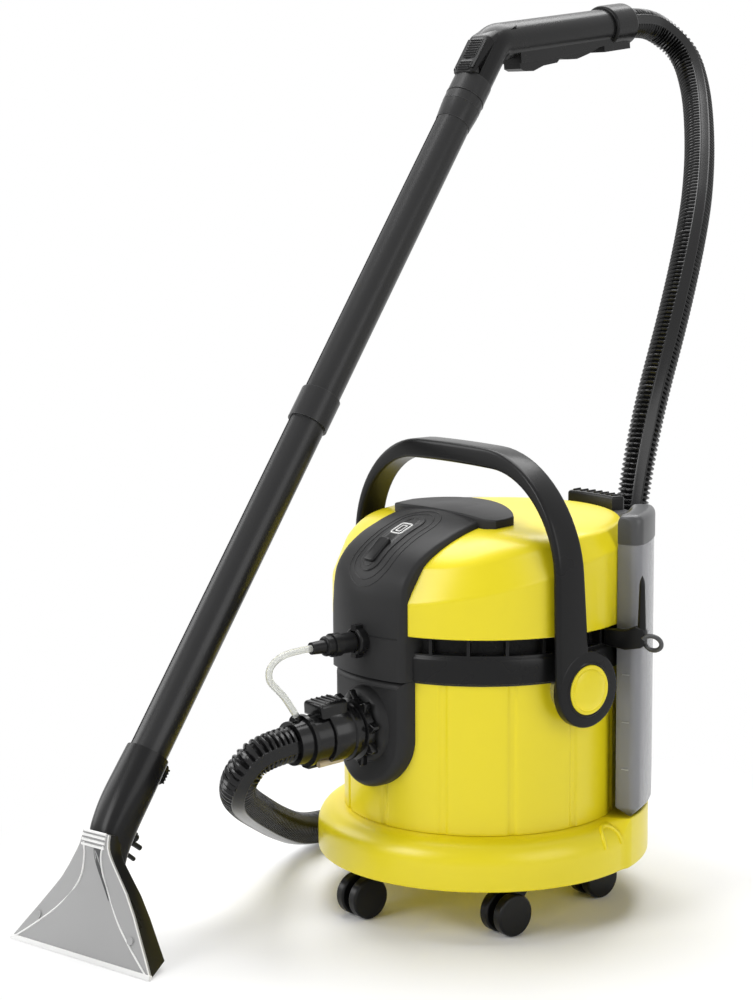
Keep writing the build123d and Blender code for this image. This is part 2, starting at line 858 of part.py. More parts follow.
with BuildPart() as pivot_pins:
    for side in (1, -1):
        with BuildSketch(bail_side.offset(side * tub_radius / 2)):
            Circle(pivot_flange / 2)
        extrude(amount=side * (bail_inner - seat_gap - tub_radius / 2))
        with BuildSketch(bail_side.offset(side * tub_radius / 2)):
            Circle(pivot_diameter / 2)
        extrude(amount=side * (bail_outer - cap_depth + seat_gap - tub_radius / 2))
    add(tub_drum, mode=Mode.SUBTRACT)
    add(collar_drum, mode=Mode.SUBTRACT)
finish_piece(pivot_pins.part, "pivot_pins")

with BuildPart() as pivot_caps:
    for side in (1, -1):
        with BuildSketch(bail_side.offset(side * (bail_outer - cap_depth + seat_gap))):
            Circle(cap_diameter / 2)
        extrude(amount=side * (cap_depth + cap_crown))
    fillet(pivot_caps.edges().group_by(Axis.X)[0], cap_crown)
    fillet(pivot_caps.edges().group_by(Axis.X)[-1], cap_crown)
finish_piece(pivot_caps.part, "pivot_caps")

# Clear water tank: a hollow ring sector that wraps the back and lifts straight up
water_end_angle = 180 - water_start_angle
water_plan = ring_sector(water_inner, water_outer, water_start_angle, water_end_angle)
wall_angle = math.degrees(water_wall / water_inner)
water_hollow = ring_sector(
    water_inner + water_wall,
    water_outer - water_wall,
    water_start_angle + wall_angle,
    water_end_angle - wall_angle,
)

with BuildPart() as water_tank:
    with BuildSketch(Plane.XY.offset(water_bottom)):
        add(water_plan)
    extrude(amount=water_height)
    chamfer(water_tank.faces().sort_by(Axis.Z)[0].edges(), water_foot)
    outer_corners = water_tank.edges().filter_by(Axis.Z).filter_by(
        lambda edge: math.hypot(edge.center().X, edge.center().Y) > (water_inner + water_outer) / 2
    )
    fillet(outer_corners, water_corner)
    with BuildSketch(Plane.XY.offset(water_bottom + water_foot)):
        add(water_hollow)
    extrude(amount=water_height, mode=Mode.SUBTRACT)
finish_piece(water_tank.part, "water_tank")

with BuildPart() as tank_cap:
    with BuildSketch(Plane.XY.offset(water_top)):
        add(water_plan)
    extrude(amount=water_cap_height)
    cap_corners = tank_cap.edges().filter_by(Axis.Z).filter_by(
        lambda edge: math.hypot(edge.center().X, edge.center().Y) > (water_inner + water_outer) / 2
    )
    fillet(cap_corners, water_corner)
    cap_rim = tank_cap.faces().sort_by(Axis.Z)[-1].edges().filter_by(
        lambda edge: edge.geom_type != GeomType.CIRCLE or abs(edge.radius - water_inner) > water_wall
    )
    fillet(cap_rim, water_corner * 0.9)
    with BuildSketch(Plane.XY.offset(water_top)):
        add(water_hollow)
    extrude(amount=water_cap_height - water_corner, mode=Mode.SUBTRACT)
finish_piece(tank_cap.part, "tank_cap")

grip_half_angle = math.degrees(grip_bar_length / 2 / water_inner)
grip_plan = ring_sector(
    water_inner + water_wall, water_outer - water_corner, 90 - grip_half_angle, 90 + grip_half_angle
)
with BuildPart() as tank_grip:
    with BuildSketch(Plane.XY.offset(water_cap_top)):
        add(grip_plan)
    extrude(amount=grip_bar_height)
    fillet(tank_grip.faces().sort_by(Axis.Z)[-1].edges(), water_wall)
    with BuildSketch(Plane.XY.offset(water_cap_top + grip_bar_height)):
        for rib_index in range(grip_ribs):
            rib_angle = 90 + grip_half_angle * ((2 * rib_index + 1) / grip_ribs - 1)
            with Locations(Location((*polar(water_inner, rib_angle), 0), (0, 0, rib_angle))):
                Rectangle(4 * water_corner, water_wall)
    extrude(amount=-grip_bar_height / 4, mode=Mode.SUBTRACT)
finish_piece(tank_grip.part, "tank_grip")

with BuildPart() as tank_valve:
    with BuildSketch(Plane.XY.offset(water_bottom)):
        with Locations(valve_place):
            Circle(valve_diameter / 2)
    extrude(amount=-base_shoulder / 2)
finish_piece(tank_valve.part, "tank_valve")

# Cable hook on the collar, ahead of the water tank
hook_plane = Plane(
    origin=(0, 0, hook_level),
    x_dir=(*polar(1, hook_angle), 0),
    z_dir=(*polar(1, hook_angle - 90), 0),
)
hook_reach = water_outer + hook_finger
with BuildPart() as cable_hook:
    with BuildSketch(hook_plane):
        with Locations(((tub_radius + hook_reach) / 2, hook_finger)):
            Rectangle(hook_reach - tub_radius, 2 * hook_finger)
        with Locations((hook_reach, hook_finger_height / 2)):
            SlotOverall(hook_finger_height, hook_finger, rotation=90)
        with Locations((hook_reach + hook_ring - hook_wire / 2, hook_finger)):
            Circle(hook_ring)
            Circle(hook_ring - hook_wire, mode=Mode.SUBTRACT)
            with Locations((hook_ring / 2, hook_ring)):
                Rectangle(hook_ring, hook_ring, mode=Mode.SUBTRACT)
    extrude(amount=hook_finger / 2, both=True)
    add(collar_drum, mode=Mode.SUBTRACT)
finish_piece(cable_hook.part, "cable_hook")

# Suction motor: housing, fan with its shaft, motor and bearings on the deck
housing_radius = fan_diameter / 2 + fan_clearance + fan_housing_wall
fan_bottom = deck_top + fan_clearance
fan_top = fan_bottom + fan_height
housing_top = fan_top + fan_clearance + fan_housing_wall
motor_top = housing_top + motor_height
with BuildPart() as fan_housing:
    with BuildSketch(Plane.XY.offset(deck_top)):
        Circle(housing_radius)
    extrude(amount=housing_top - deck_top)
    with BuildSketch(Plane.XY.offset(deck_top)):
        Circle(housing_radius - fan_housing_wall)
    extrude(amount=fan_top + fan_clearance - deck_top, mode=Mode.SUBTRACT)
    with BuildSketch(Plane.XY.offset(housing_top)):
        Circle(shaft_diameter / 2 + fan_clearance)
    extrude(amount=-fan_housing_wall, mode=Mode.SUBTRACT)
    with BuildSketch(Plane.XY.offset(fan_bottom)):
        with PolarLocations(housing_radius, fan_blades):
            Rectangle(4 * fan_housing_wall, fan_height)
    extrude(amount=fan_height / 2, mode=Mode.SUBTRACT)
finish_piece(fan_housing.part, "fan_housing")

with BuildPart() as fan_wheel:
    with BuildSketch(Plane.XY.offset(fan_bottom)):
        with PolarLocations(fan_diameter / 4, fan_blades):
            Rectangle(fan_diameter / 2 - fan_plate, fan_blade, rotation=-20)
        Circle(fan_diameter / 2, mode=Mode.INTERSECT)
    extrude(amount=fan_height - fan_plate)
    with BuildSketch(Plane.XY.offset(fan_top - fan_plate)):
        Circle(fan_diameter / 2)
    extrude(amount=fan_plate)
    with BuildSketch(Plane.XY.offset(fan_bottom)):
        Circle(shaft_diameter)
    extrude(amount=fan_height)
    with BuildSketch(Plane.XY.offset(fan_top)):
        Circle(shaft_diameter / 2)
    extrude(amount=motor_top + fan_clearance - fan_top)
finish_piece(fan_wheel.part, "fan_wheel")

with BuildPart() as motor_body:
    with BuildSketch(Plane.XY.offset(housing_top)):
        Circle(motor_diameter / 2)
    extrude(amount=motor_height)
    fillet(motor_body.edges().group_by(Axis.Z)[-1], fan_clearance)
    with BuildSketch(Plane.XY.offset(housing_top)):
        Circle(shaft_diameter / 2 + fan_clearance)
    extrude(amount=motor_height, mode=Mode.SUBTRACT)
    with BuildSketch(Plane.XY.offset(housing_top)):
        Circle(bearing_diameter / 2)
    extrude(amount=bearing_height, mode=Mode.SUBTRACT)
    with BuildSketch(Plane.XY.offset(motor_top)):
        Circle(bearing_diameter / 2)
    extrude(amount=-bearing_height, mode=Mode.SUBTRACT)
finish_piece(motor_body.part, "motor_body")

with BuildPart() as motor_bearings:
    for bearing_level in (housing_top, motor_top - bearing_height):
        with BuildSketch(Plane.XY.offset(bearing_level)):
            Circle(bearing_diameter / 2)
            Circle(shaft_diameter / 2 + running_fit, mode=Mode.SUBTRACT)
        extrude(amount=bearing_height)
finish_piece(motor_bearings.part, "motor_bearings")

# Spray pump on the deck beside the motor
pump_place = polar(pump_radius, pump_angle)
with BuildPart() as spray_pump:
    with BuildSketch(Plane.XY.offset(deck_top)):
        with Locations(pump_place):
            RectangleRounded(1.3 * pump_diameter, pump_diameter, pump_diameter / 8)
    extrude(amount=pump_length / 8)
    with BuildSketch(Plane.XY.offset(deck_top)):
        with Locations(pump_place):
            Circle(pump_diameter / 2)
    extrude(amount=pump_length)
    fillet(spray_pump.edges().group_by(Axis.Z)[-1], pump_diameter / 10)
    with BuildSketch(Plane.XY.offset(deck_top + pump_length)):
        with Locations(pump_place):
            Circle(spray_tube_diameter)
    extrude(amount=spray_tube_diameter)
finish_piece(spray_pump.part, "spray_pump")

# Float valve below the deck: a slotted cage and the ball that shuts the intake
cage_bottom = deck_bottom - float_cage_depth
float_rest = cage_bottom + float_cage_wall + seat_gap + float_diameter / 2
with BuildPart() as float_cage:
    with BuildSketch(Plane.XY.offset(cage_bottom)):
        Circle(float_cage_diameter / 2)
    extrude(amount=float_cage_depth)
    with BuildSketch(Plane.XY.offset(cage_bottom + float_cage_wall)):
        Circle(float_cage_diameter / 2 - float_cage_wall)
    extrude(amount=float_cage_depth, mode=Mode.SUBTRACT)
    with BuildSketch(Plane.XY.offset(cage_bottom + 2 * float_cage_wall)):
        with PolarLocations(float_cage_diameter / 2, float_slots):
            Rectangle(4 * float_cage_wall, float_slot_width)
    extrude(amount=float_cage_depth - 4 * float_cage_wall, mode=Mode.SUBTRACT)
finish_piece(float_cage.part, "float_cage")

with BuildPart() as float_ball:
    with Locations((0, 0, float_rest)):
        Sphere(float_diameter / 2)
finish_piece(float_ball.part, "float_ball")

# Wand: everything below lies in one upright plane, turned a little from the machine's own
yaw_sin = math.sin(math.radians(wand_yaw))
yaw_cos = math.cos(math.radians(wand_yaw))
wand = Plane(origin=(lip_x, lip_y, 0), x_dir=(-yaw_sin, yaw_cos, 0), z_dir=(yaw_cos, yaw_sin, 0))


def wand_point(along, up):
    """World point in the wand's plane, from the middle of the nozzle lip."""
    return wand.from_local_coords((along, up, 0))


def wand_direction(angle):
    """World direction in the wand's plane at an angle above the floor."""
    tip = wand_point(math.cos(math.radians(angle)), math.sin(math.radians(angle)))
    return tip - wand.origin


neck = Plane(
    origin=wand_point(neck_s, neck_z), x_dir=wand.z_dir, z_dir=wand_direction(tube_angle)
)
nozzle_face = Plane(
    origin=wand.origin, x_dir=wand.z_dir, z_dir=wand_direction(nozzle_slope + 90)
)
socket_radius = spigot_diameter / 2 + push_fit
wand_bore = spigot_diameter / 2 - 2 * tube_wall


with BuildSketch() as fan:
    with BuildLine():
        Polyline(
            (-nozzle_width / 2, -nozzle_depth),
            (nozzle_width / 2, -nozzle_depth),
            (nozzle_width / 2, lip_height),
            (nozzle_neck_width / 2, nozzle_tall),
            (-nozzle_neck_width / 2, nozzle_tall),
            (-nozzle_width / 2, lip_height),
            close=True,
        )
    make_face()
fan_outline = fan.sketch

channel_half = nozzle_width / 2 - channel_margin
channel_neck = nozzle_neck_width / 2 - channel_margin / 2
channel_side = [
    (channel_half, nozzle_tall * 0.12),
    (channel_half * 0.52, nozzle_tall * 0.42),
    (channel_half * 0.3, nozzle_tall * 0.61),
    (channel_neck, nozzle_tall - channel_margin / 2),
]
with BuildSketch() as channel:
    with BuildLine():
        Polyline(
            (-channel_half, channel_side[0][1]),
            (-channel_half, -2 * nozzle_depth),
            (channel_half, -2 * nozzle_depth),
            channel_side[0],
        )
        Spline(*channel_side)
        Line(channel_side[-1], (-channel_neck, channel_side[-1][1]))
        Spline(*[(-across, up) for across, up in channel_side])
    make_face()
channel_outline = channel.sketch


# Nozzle: a black fan-shaped body with a suction channel, behind a clear window with a white lip
with BuildPart() as above_floor:
    with BuildSketch(wand.offset(-nozzle_width)):
        with BuildLine():
            Polyline(
                (-nozzle_tall, 0),
                (nozzle_depth / 2, 0),
                (nozzle_depth, nozzle_depth / 3),
                (2 * nozzle_tall, nozzle_depth / 3),
                (2 * nozzle_tall, 3 * nozzle_tall),
                (-nozzle_tall, 3 * nozzle_tall),
                close=True,
            )
        make_face()
    extrude(amount=2 * nozzle_width)

body_face = nozzle_face.offset(-window_thickness)
screw_places = [
    (side * spread, level)
    for side in (1, -1)
    for spread, level in (
        (screw_low_spread, screw_low_level),
        (screw_high_spread, screw_high_level),
    )
]
latch_plane = neck.offset(-3 * latch_length / 2)
latch_pocket = neck_diameter / 2 + latch_travel
latch_foot = latch_pocket + latch_travel + seat_gap
latch_top = neck_diameter / 2 + latch_height

with BuildPart() as nozzle_body:
    with BuildSketch(neck.offset(-neck_length)):
        Circle(neck_diameter / 2)
    extrude(amount=neck_length)
    with BuildSketch(body_face):
        Rectangle(nozzle_width, 2 * nozzle_tall)
    extrude(amount=nozzle_tall, mode=Mode.SUBTRACT)
    with BuildSketch(body_face):
        add(fan_outline)
    extrude(amount=-nozzle_depth)
    with BuildSketch(body_face):
        add(channel_outline)
    extrude(amount=-channel_depth, mode=Mode.SUBTRACT)
    with BuildSketch(body_face):
        with Locations(screw_places):
            Circle(screw_boss / 2)
    extrude(amount=-channel_depth)
    with BuildSketch(body_face):
        with Locations(screw_places):
            Circle(screw_shank / 2 + push_fit)
    extrude(amount=window_thickness - screw_length, mode=Mode.SUBTRACT)
    with BuildSketch(latch_plane.offset(-latch_width / 2)):
        with Locations((0, neck_diameter / 2)):
            Rectangle(latch_width + 4 * latch_travel, 2 * latch_height)
    extrude(amount=latch_length + latch_width)
    with BuildSketch(latch_plane):
        with Locations((0, latch_pocket + latch_height)):
            Rectangle(latch_width + 2 * seat_gap, 2 * latch_height)
    extrude(amount=latch_length, mode=Mode.SUBTRACT)
    with BuildSketch(neck):
        Circle(socket_radius)
    extrude(amount=-socket_depth, mode=Mode.SUBTRACT)
    with BuildSketch(neck):
        Circle(wand_bore)
    extrude(amount=channel_depth - neck_length, mode=Mode.SUBTRACT)
    add(above_floor.part, mode=Mode.INTERSECT)
finish_piece(nozzle_body.part, "nozzle_body")

with BuildPart() as nozzle_latch:
    with BuildSketch(latch_plane.offset(seat_gap)):
        with Locations((0, (latch_foot + latch_top + latch_travel) / 2)):
            Rectangle(latch_width, latch_top + latch_travel - latch_foot)
    extrude(amount=latch_length - 2 * seat_gap)
finish_piece(nozzle_latch.part, "nozzle_latch")

with BuildPart() as nozzle_window:
    with BuildSketch(body_face):
        add(fan_outline)
        with Locations(screw_places):
            Circle(screw_shank / 2 + push_fit, mode=Mode.SUBTRACT)
    extrude(amount=window_thickness)
    add(above_floor.part, mode=Mode.INTERSECT)
finish_piece(nozzle_window.part, "nozzle_window")

with BuildPart() as nozzle_lip:
    with BuildSketch(nozzle_face):
        Rectangle(nozzle_width, 2 * lip_height)
    extrude(amount=lip_depth)
    add(above_floor.part, mode=Mode.INTERSECT)
finish_piece(nozzle_lip.part, "nozzle_lip")

with BuildPart() as window_screws:
    with BuildSketch(nozzle_face):
        with Locations(screw_places):
            Circle(screw_head / 2)
    extrude(amount=screw_height)
    with BuildSketch(nozzle_face):
        with Locations(screw_places):
            Circle(screw_shank / 2)
    extrude(amount=seat_gap - screw_length)
finish_piece(window_screws.part, "window_screws")

# Spray jet at the back of the neck's root
jet_plane = Plane(
    origin=neck.from_local_coords((0, neck_diameter / 2 + seat_gap, -jet_distance)),
    x_dir=neck.x_dir,
    z_dir=neck.y_dir,
)
jet_axis = Axis(jet_plane.origin, jet_plane.z_dir)
with BuildPart() as spray_jet:
    with BuildSketch(jet_plane):
        Circle(jet_diameter / 2)
    extrude(amount=jet_length)
    fillet(spray_jet.edges().sort_by(jet_axis)[-1], jet_diameter / 5)
finish_piece(spray_jet.part, "spray_jet")

# Wand tubes: each plugs into the mouth below it and is kept by a sprung button
button_inner = spigot_diameter / 2 + latch_travel + seat_gap
button_outer = socket_diameter / 2 + button_height
for tube_index, tube_name in enumerate(("lower", "upper")):
    mouth = neck.offset(tube_index * tube_length)
    far_mouth = neck.offset((tube_index + 1) * tube_length)
    button_plane = Plane(
        origin=far_mouth.from_local_coords((0, 0, -socket_length / 2)),
        x_dir=neck.x_dir,
        z_dir=neck.y_dir,
    )
    with BuildPart() as wand_tube:
        with BuildSketch(mouth):
            Circle(tube_diameter / 2)
        extrude(amount=tube_length)
        with BuildSketch(mouth):
            with PolarLocations(tube_diameter / 2, 2, groove_angle, groove_spread, endpoint=True):
                Rectangle(2 * groove_depth, groove_width)
        extrude(amount=tube_length, mode=Mode.SUBTRACT)
        with BuildSketch(far_mouth):
            Circle(socket_diameter / 2)
        extrude(amount=-socket_length)
        with BuildSketch(mouth):
            Circle(spigot_diameter / 2)
        extrude(amount=seat_gap - socket_depth)
        with BuildSketch(mouth.offset(-socket_depth)):
            Circle(wand_bore)
        extrude(amount=socket_depth + tube_length, mode=Mode.SUBTRACT)
        with BuildSketch(far_mouth):
            Circle(socket_radius)
        extrude(amount=-socket_depth, mode=Mode.SUBTRACT)
        with BuildSketch(button_plane):
            Circle(button_diameter / 2 + seat_gap)
        extrude(amount=socket_diameter, mode=Mode.SUBTRACT)
    finish_piece(wand_tube.part, f"{tube_name}_tube")

    with BuildPart() as tube_button:
        with BuildSketch(button_plane.offset(button_inner)):
            Circle(button_diameter / 2)
        extrude(amount=button_outer - button_inner)
        fillet(tube_button.edges().filter_by(GeomType.CIRCLE), button_height / 5)
    finish_piece(tube_button.part, f"{tube_name}_tube_button")


def along_tube(distance):
    """Place in the wand's plane on the tubes' axis, at a distance from the neck's mouth."""
    return (
        neck_s + distance * math.cos(math.radians(tube_angle)),
        neck_z + distance * math.sin(math.radians(tube_angle)),
    )


# Wand handle: an elbow and grip with the trigger set into its underside
handle_mouth = neck.offset(2 * tube_length)
elbow = along_tube(2 * tube_length + elbow_run)
grip = Plane(origin=wand_point(*elbow), x_dir=wand_direction(grip_rise), z_dir=wand.z_dir)
tail = Plane(
    origin=grip.from_local_coords((grip_length - tail_length, 0, 0)),
    x_dir=wand.z_dir,
    z_dir=grip.x_dir,
)
with BuildLine(wand) as handle_path:
    FilletPolyline(
        along_tube(2 * tube_length),
        elbow,
        tuple(wand.to_local_coords(tail.origin))[:2],
        radius=elbow_radius,
    )
grip_under = -handle_diameter / 2
slot_top = -hose_bore / 2 - tube_wall / 2
trigger_back = trigger_start + trigger_length
trigger_low = grip_under - trigger_drop
trigger_pin_place = (trigger_start + trigger_pin_inset, (slot_top + trigger_low) / 2)
cheek_end = cheek_start + cheek_length
valve_level = grip_under + spray_valve_diameter / 2
slider_plane = handle_mouth.offset(pad_margin)
slider_foot = handle_diameter / 2 + pad_height + seat_gap
slider_crest = slider_plane.from_local_coords((0, -slider_foot - slider_height, 0))
front_way = -neck.y_dir
valve_plane = Plane(
    origin=grip.from_local_coords((trigger_back + trigger_gap, valve_level, 0)),
    x_dir=wand.z_dir,
    z_dir=grip.x_dir,
)

with BuildPart() as handle_body:
    with BuildSketch(handle_mouth):
        Circle(handle_diameter / 2)
    sweep(path=handle_path.wires()[0])
    with BuildSketch(slider_plane):
        with Locations((0, -handle_diameter / 2)):
            Rectangle(slider_width + 2 * pad_margin, 2 * pad_height)
    extrude(amount=slider_length + slider_travel)
    with BuildSketch(grip):
        with BuildLine():
            Polyline(
                (cheek_start, grip_under / 2),
                (cheek_start, grip_under - cheek_drop),
                (cheek_start + cheek_length / 2, grip_under - cheek_drop),
                (cheek_end, grip_under),
                (cheek_end, grip_under / 2),
                close=True,
            )
        make_face()
    extrude(amount=cheek_width / 2, both=True)
    with BuildSketch(tail):
        with Locations((0, block_drop / 2)):
            Rectangle(cheek_width, block_drop)
    extrude(amount=cheek_end - grip_length + tail_length)
    with BuildSketch(handle_mouth):
        Circle(spigot_diameter / 2)
    extrude(amount=seat_gap - socket_depth)
    with BuildSketch(handle_mouth):
        Circle(hose_bore / 2)
    sweep(path=handle_path.wires()[0], mode=Mode.SUBTRACT)
    with BuildSketch(handle_mouth.offset(-socket_depth)):
        Circle(hose_bore / 2)
    extrude(amount=socket_depth, mode=Mode.SUBTRACT)
    with BuildSketch(grip):
        with Locations((trigger_start + trigger_length / 2, slot_top - handle_diameter / 2)):
            Rectangle(trigger_length + 2 * trigger_gap, handle_diameter)
    extrude(amount=trigger_width / 2 + trigger_gap, both=True, mode=Mode.SUBTRACT)
    with BuildSketch(grip):
        with Locations(trigger_pin_place):
            Circle(trigger_pin_diameter / 2 + running_fit)
    extrude(amount=cheek_width / 2, both=True, mode=Mode.SUBTRACT)
    with BuildSketch(valve_plane):
        Circle(spray_valve_diameter / 2 + push_fit)
    extrude(amount=spray_valve_length, mode=Mode.SUBTRACT)
    with BuildSketch(Plane(slider_plane.from_local_coords((0, 0, slider_length / 2)), z_dir=front_way)):
        Circle(bleed_diameter / 2)
    extrude(amount=handle_diameter, mode=Mode.SUBTRACT)
finish_piece(handle_body.part, "handle_body")

with BuildPart() as trigger:
    with BuildSketch(grip):
        with BuildLine():
            Polyline(
                (trigger_start, slot_top - trigger_gap),
                *[(trigger_start + along, grip_under - drop) for along, drop in trigger_contour],
                (trigger_back, grip_under - trigger_drop / 4),
                (trigger_back, slot_top - trigger_gap - trigger_stroke),
                (trigger_start + 2 * trigger_pin_inset, slot_top - trigger_gap),
                close=True,
            )
        make_face()
        with Locations(trigger_pin_place):
            Circle(trigger_pin_diameter / 2 + running_fit, mode=Mode.SUBTRACT)
    extrude(amount=trigger_width / 2, both=True)
finish_piece(trigger.part, "trigger")

with BuildPart() as trigger_pin:
    with BuildSketch(grip):
        with Locations(trigger_pin_place):
            Circle(trigger_pin_diameter / 2)
    extrude(amount=cheek_width / 2, both=True)
finish_piece(trigger_pin.part, "trigger_pin")

with BuildPart() as spray_valve:
    with BuildSketch(valve_plane):
        Circle(spray_valve_diameter / 2)
    extrude(amount=spray_valve_length)
finish_piece(spray_valve.part, "spray_valve")

with BuildPart() as air_slider:
    with BuildSketch(slider_plane):
        with Locations((0, -slider_foot - slider_height / 2)):
            Rectangle(slider_width, slider_height)
    extrude(amount=slider_length)
    with BuildSketch(Plane(slider_crest, x_dir=neck.x_dir, z_dir=front_way)):
        for rib in range(slider_ribs):
            with Locations((0, (rib + 1) * slider_length / (slider_ribs + 1))):
                Rectangle(slider_width, slider_groove)
    extrude(amount=-slider_groove, mode=Mode.SUBTRACT)
finish_piece(air_slider.part, "air_slider")

with BuildPart() as handle_cuff:
    with BuildSketch(tail):
        Circle(tail_diameter / 2)
    extrude(amount=tail_length)
    fillet(handle_cuff.edges().sort_by(Axis.Y)[-1], tail_dome / 2)
    fillet(handle_cuff.edges().sort_by(Axis.Y)[0], tail_dome / 4)
    with BuildSketch(tail):
        with Locations((0, block_drop / 2)):
            Rectangle(cheek_width, block_drop)
    extrude(amount=block_length)
    with BuildSketch(tail):
        Circle(hose_bore / 2)
    extrude(amount=tail_length, mode=Mode.SUBTRACT)
finish_piece(handle_cuff.part, "handle_cuff")


def bend_radii(points):
    """Radius at each inner point of a route: as large as the shorter of its two runs allows."""
    radii = []
    for before, here, after in zip(points, points[1:], points[2:]):
        run_in = Vector(here) - Vector(before)
        run_out = Vector(after) - Vector(here)
        half_turn = math.radians(run_in.get_angle(run_out)) / 2
        shorter = min(run_in.length, run_out.length)
        radii.append(bend_share * shorter / math.tan(half_turn))
    return radii


def route_path(points):
    """Wire of straight runs and tangent arcs through a route's points."""
    with BuildLine() as path:
        FilletPolyline(*points, radius=bend_radii(points))
    return path.wires()[0]


# Spray tube: a clear loop from the plug to the nipple on the machine-end cuff
nipple_tip = nipple.offset(nipple_length)
spray_points = [
    spray.from_local_coords((0, 0, spray_nose_end)),
    spray.from_local_coords((0, 0, spray_nose_end + spray_lead)),
    *(Vector(point) for point in spray_route),
    nipple_tip.from_local_coords((0, 0, spray_lead)),
    nipple_tip.origin,
]
spray_path = route_path(spray_points)
print("spray tube radii", [round(radius) for radius in bend_radii(spray_points)])

with BuildPart() as spray_tube:
    with BuildSketch(spray.offset(spray_nose_end)):
        Circle(spray_tube_diameter / 2)
        Circle(spray_tube_bore / 2, mode=Mode.SUBTRACT)
    sweep(path=spray_path)
print("spray tube length", round(spray_path.length))
finish_piece(spray_tube.part, "spray_tube")

# Suction hose: a ribbed tube from the machine-end cuff to the tail of the handle
hose_exit = inlet.offset(cuff_end)
hose_arrival = tail.offset(tail_length)
hose_points = [
    hose_exit.origin,
    hose_exit.from_local_coords((0, 0, hose_diameter)),
    *(Vector(point) for point in hose_route),
    hose_arrival.from_local_coords((0, 0, hose_diameter)),
    hose_arrival.origin,
]
hose_path = route_path(hose_points)
print("hose radii", [round(radius) for radius in bend_radii(hose_points)])
print("hose length", round(hose_path.length))
rib_pitch = hose_path.length / hose_ribs
rib_profile = (
    (0, hose_root / 2),
    (rib_rise, hose_diameter / 2),
    (rib_rise + rib_crest, hose_diameter / 2),
    (2 * rib_rise + rib_crest, hose_root / 2),
)
ring_places = [
    (rib * rib_pitch + along, radius) for rib in range(hose_ribs) for along, radius in rib_profile
]
ring_places.append((hose_path.length, hose_root / 2))
steady_x = Vector(hose_exit.x_dir)

with BuildPart() as suction_hose:
    for along, radius in ring_places:
        share = along / hose_path.length
        heading = hose_path.tangent_at(share)
        steady_x = (steady_x - heading * steady_x.dot(heading)).normalized()
        with BuildSketch(Plane(hose_path.position_at(share), x_dir=steady_x, z_dir=heading)):
            Circle(radius)
    loft(ruled=True)
    with BuildSketch(hose_exit):
        Circle(hose_bore / 2)
    sweep(path=hose_path, mode=Mode.SUBTRACT)
finish_piece(suction_hose.part, "suction_hose")
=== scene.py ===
"""Looks of a spray extraction carpet cleaner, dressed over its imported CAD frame."""

import logging
import math
from dataclasses import dataclass
from enum import Enum
from typing import Callable, ClassVar, Iterable, Sequence

import bmesh
import bpy
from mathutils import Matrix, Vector


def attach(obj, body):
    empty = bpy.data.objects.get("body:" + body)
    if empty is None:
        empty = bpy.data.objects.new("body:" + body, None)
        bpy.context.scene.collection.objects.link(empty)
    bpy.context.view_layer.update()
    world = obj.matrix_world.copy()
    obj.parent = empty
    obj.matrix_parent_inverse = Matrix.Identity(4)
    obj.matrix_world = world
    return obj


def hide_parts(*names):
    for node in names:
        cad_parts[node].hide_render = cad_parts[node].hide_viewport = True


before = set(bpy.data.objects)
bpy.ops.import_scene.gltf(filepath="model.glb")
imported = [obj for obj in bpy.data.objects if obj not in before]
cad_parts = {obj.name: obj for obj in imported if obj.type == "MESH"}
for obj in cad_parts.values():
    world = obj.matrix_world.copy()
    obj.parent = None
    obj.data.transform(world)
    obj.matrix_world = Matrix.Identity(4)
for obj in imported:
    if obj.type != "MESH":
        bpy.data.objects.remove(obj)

LOG = logging.getLogger("carpet_cleaner")
MM = 0.001
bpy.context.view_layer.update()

Triple = tuple[float, float, float]
Pair = tuple[float, float]
Colour = tuple[float, float, float]


def smooth(value: float, low: float, high: float) -> float:
    """Share that eases from 0 at the low value to 1 at the high one."""
    share = min(max((value - low) / (high - low), 0.0), 1.0)
    return share * share * (3.0 - 2.0 * share)


def mix(first: float, second: float, share: float) -> float:
    """Number at a share of the way from the first to the second."""
    return first + (second - first) * share


def polar(radius: float, degrees: float, height: float) -> Vector:
    """Point in millimetres around the machine's upright axis, its angle counted from the +x side."""
    angle = math.radians(degrees)
    return Vector((radius * math.cos(angle), radius * math.sin(angle), height))


def circle(steps: int) -> list[float]:
    """Angles of even steps around a circle, in radians."""
    return [math.tau * step / steps for step in range(steps)]


def around(columns: Sequence[float], lines: Sequence[Sequence[Pair]]) -> list[list[Vector]]:
    """Rows around the machine's axis, from one (radius, level) profile for each angle."""
    return [[polar(radius, degrees, level) for degrees, (radius, level) in zip(columns, row)] for row in zip(*lines)]


def rounded(corners: Sequence[Triple], closed: bool = False, steps: int = 5) -> list[Pair]:
    """Polyline whose corners are turned into arcs.

    Args:
        corners: Points as (u, v, radius).
        closed: Whether the last corner joins the first.
        steps: Pieces in each arc.

    Returns:
        The points of the rounded line.
    """
    count = len(corners)
    line: list[Pair] = []
    for index, (u, v, radius) in enumerate(corners):
        inner = closed or 0 < index < count - 1
        if radius <= 0 or not inner:
            line.append((u, v))
            continue
        here = Vector((u, v))
        before = Vector(corners[index - 1][:2]) - here
        after = Vector(corners[(index + 1) % count][:2]) - here
        turn = before.angle(after)
        reach = radius / math.tan(turn / 2)
        limit = 0.49 * min(before.length, after.length)
        if reach > limit:
            radius *= limit / reach
            reach = limit
        start = here + before.normalized() * reach
        middle = here + (before.normalized() + after.normalized()).normalized() * (radius / math.sin(turn / 2))
        first = start - middle
        second = here + after.normalized() * reach - middle
        sweep = first.angle_signed(second)
        for step in range(steps + 1):
            angle = -sweep * step / steps
            spoke = Vector((
                first.x * math.cos(angle) - first.y * math.sin(angle),
                first.x * math.sin(angle) + first.y * math.cos(angle),
            ))
            line.append((middle.x + spoke.x, middle.y + spoke.y))
    return line


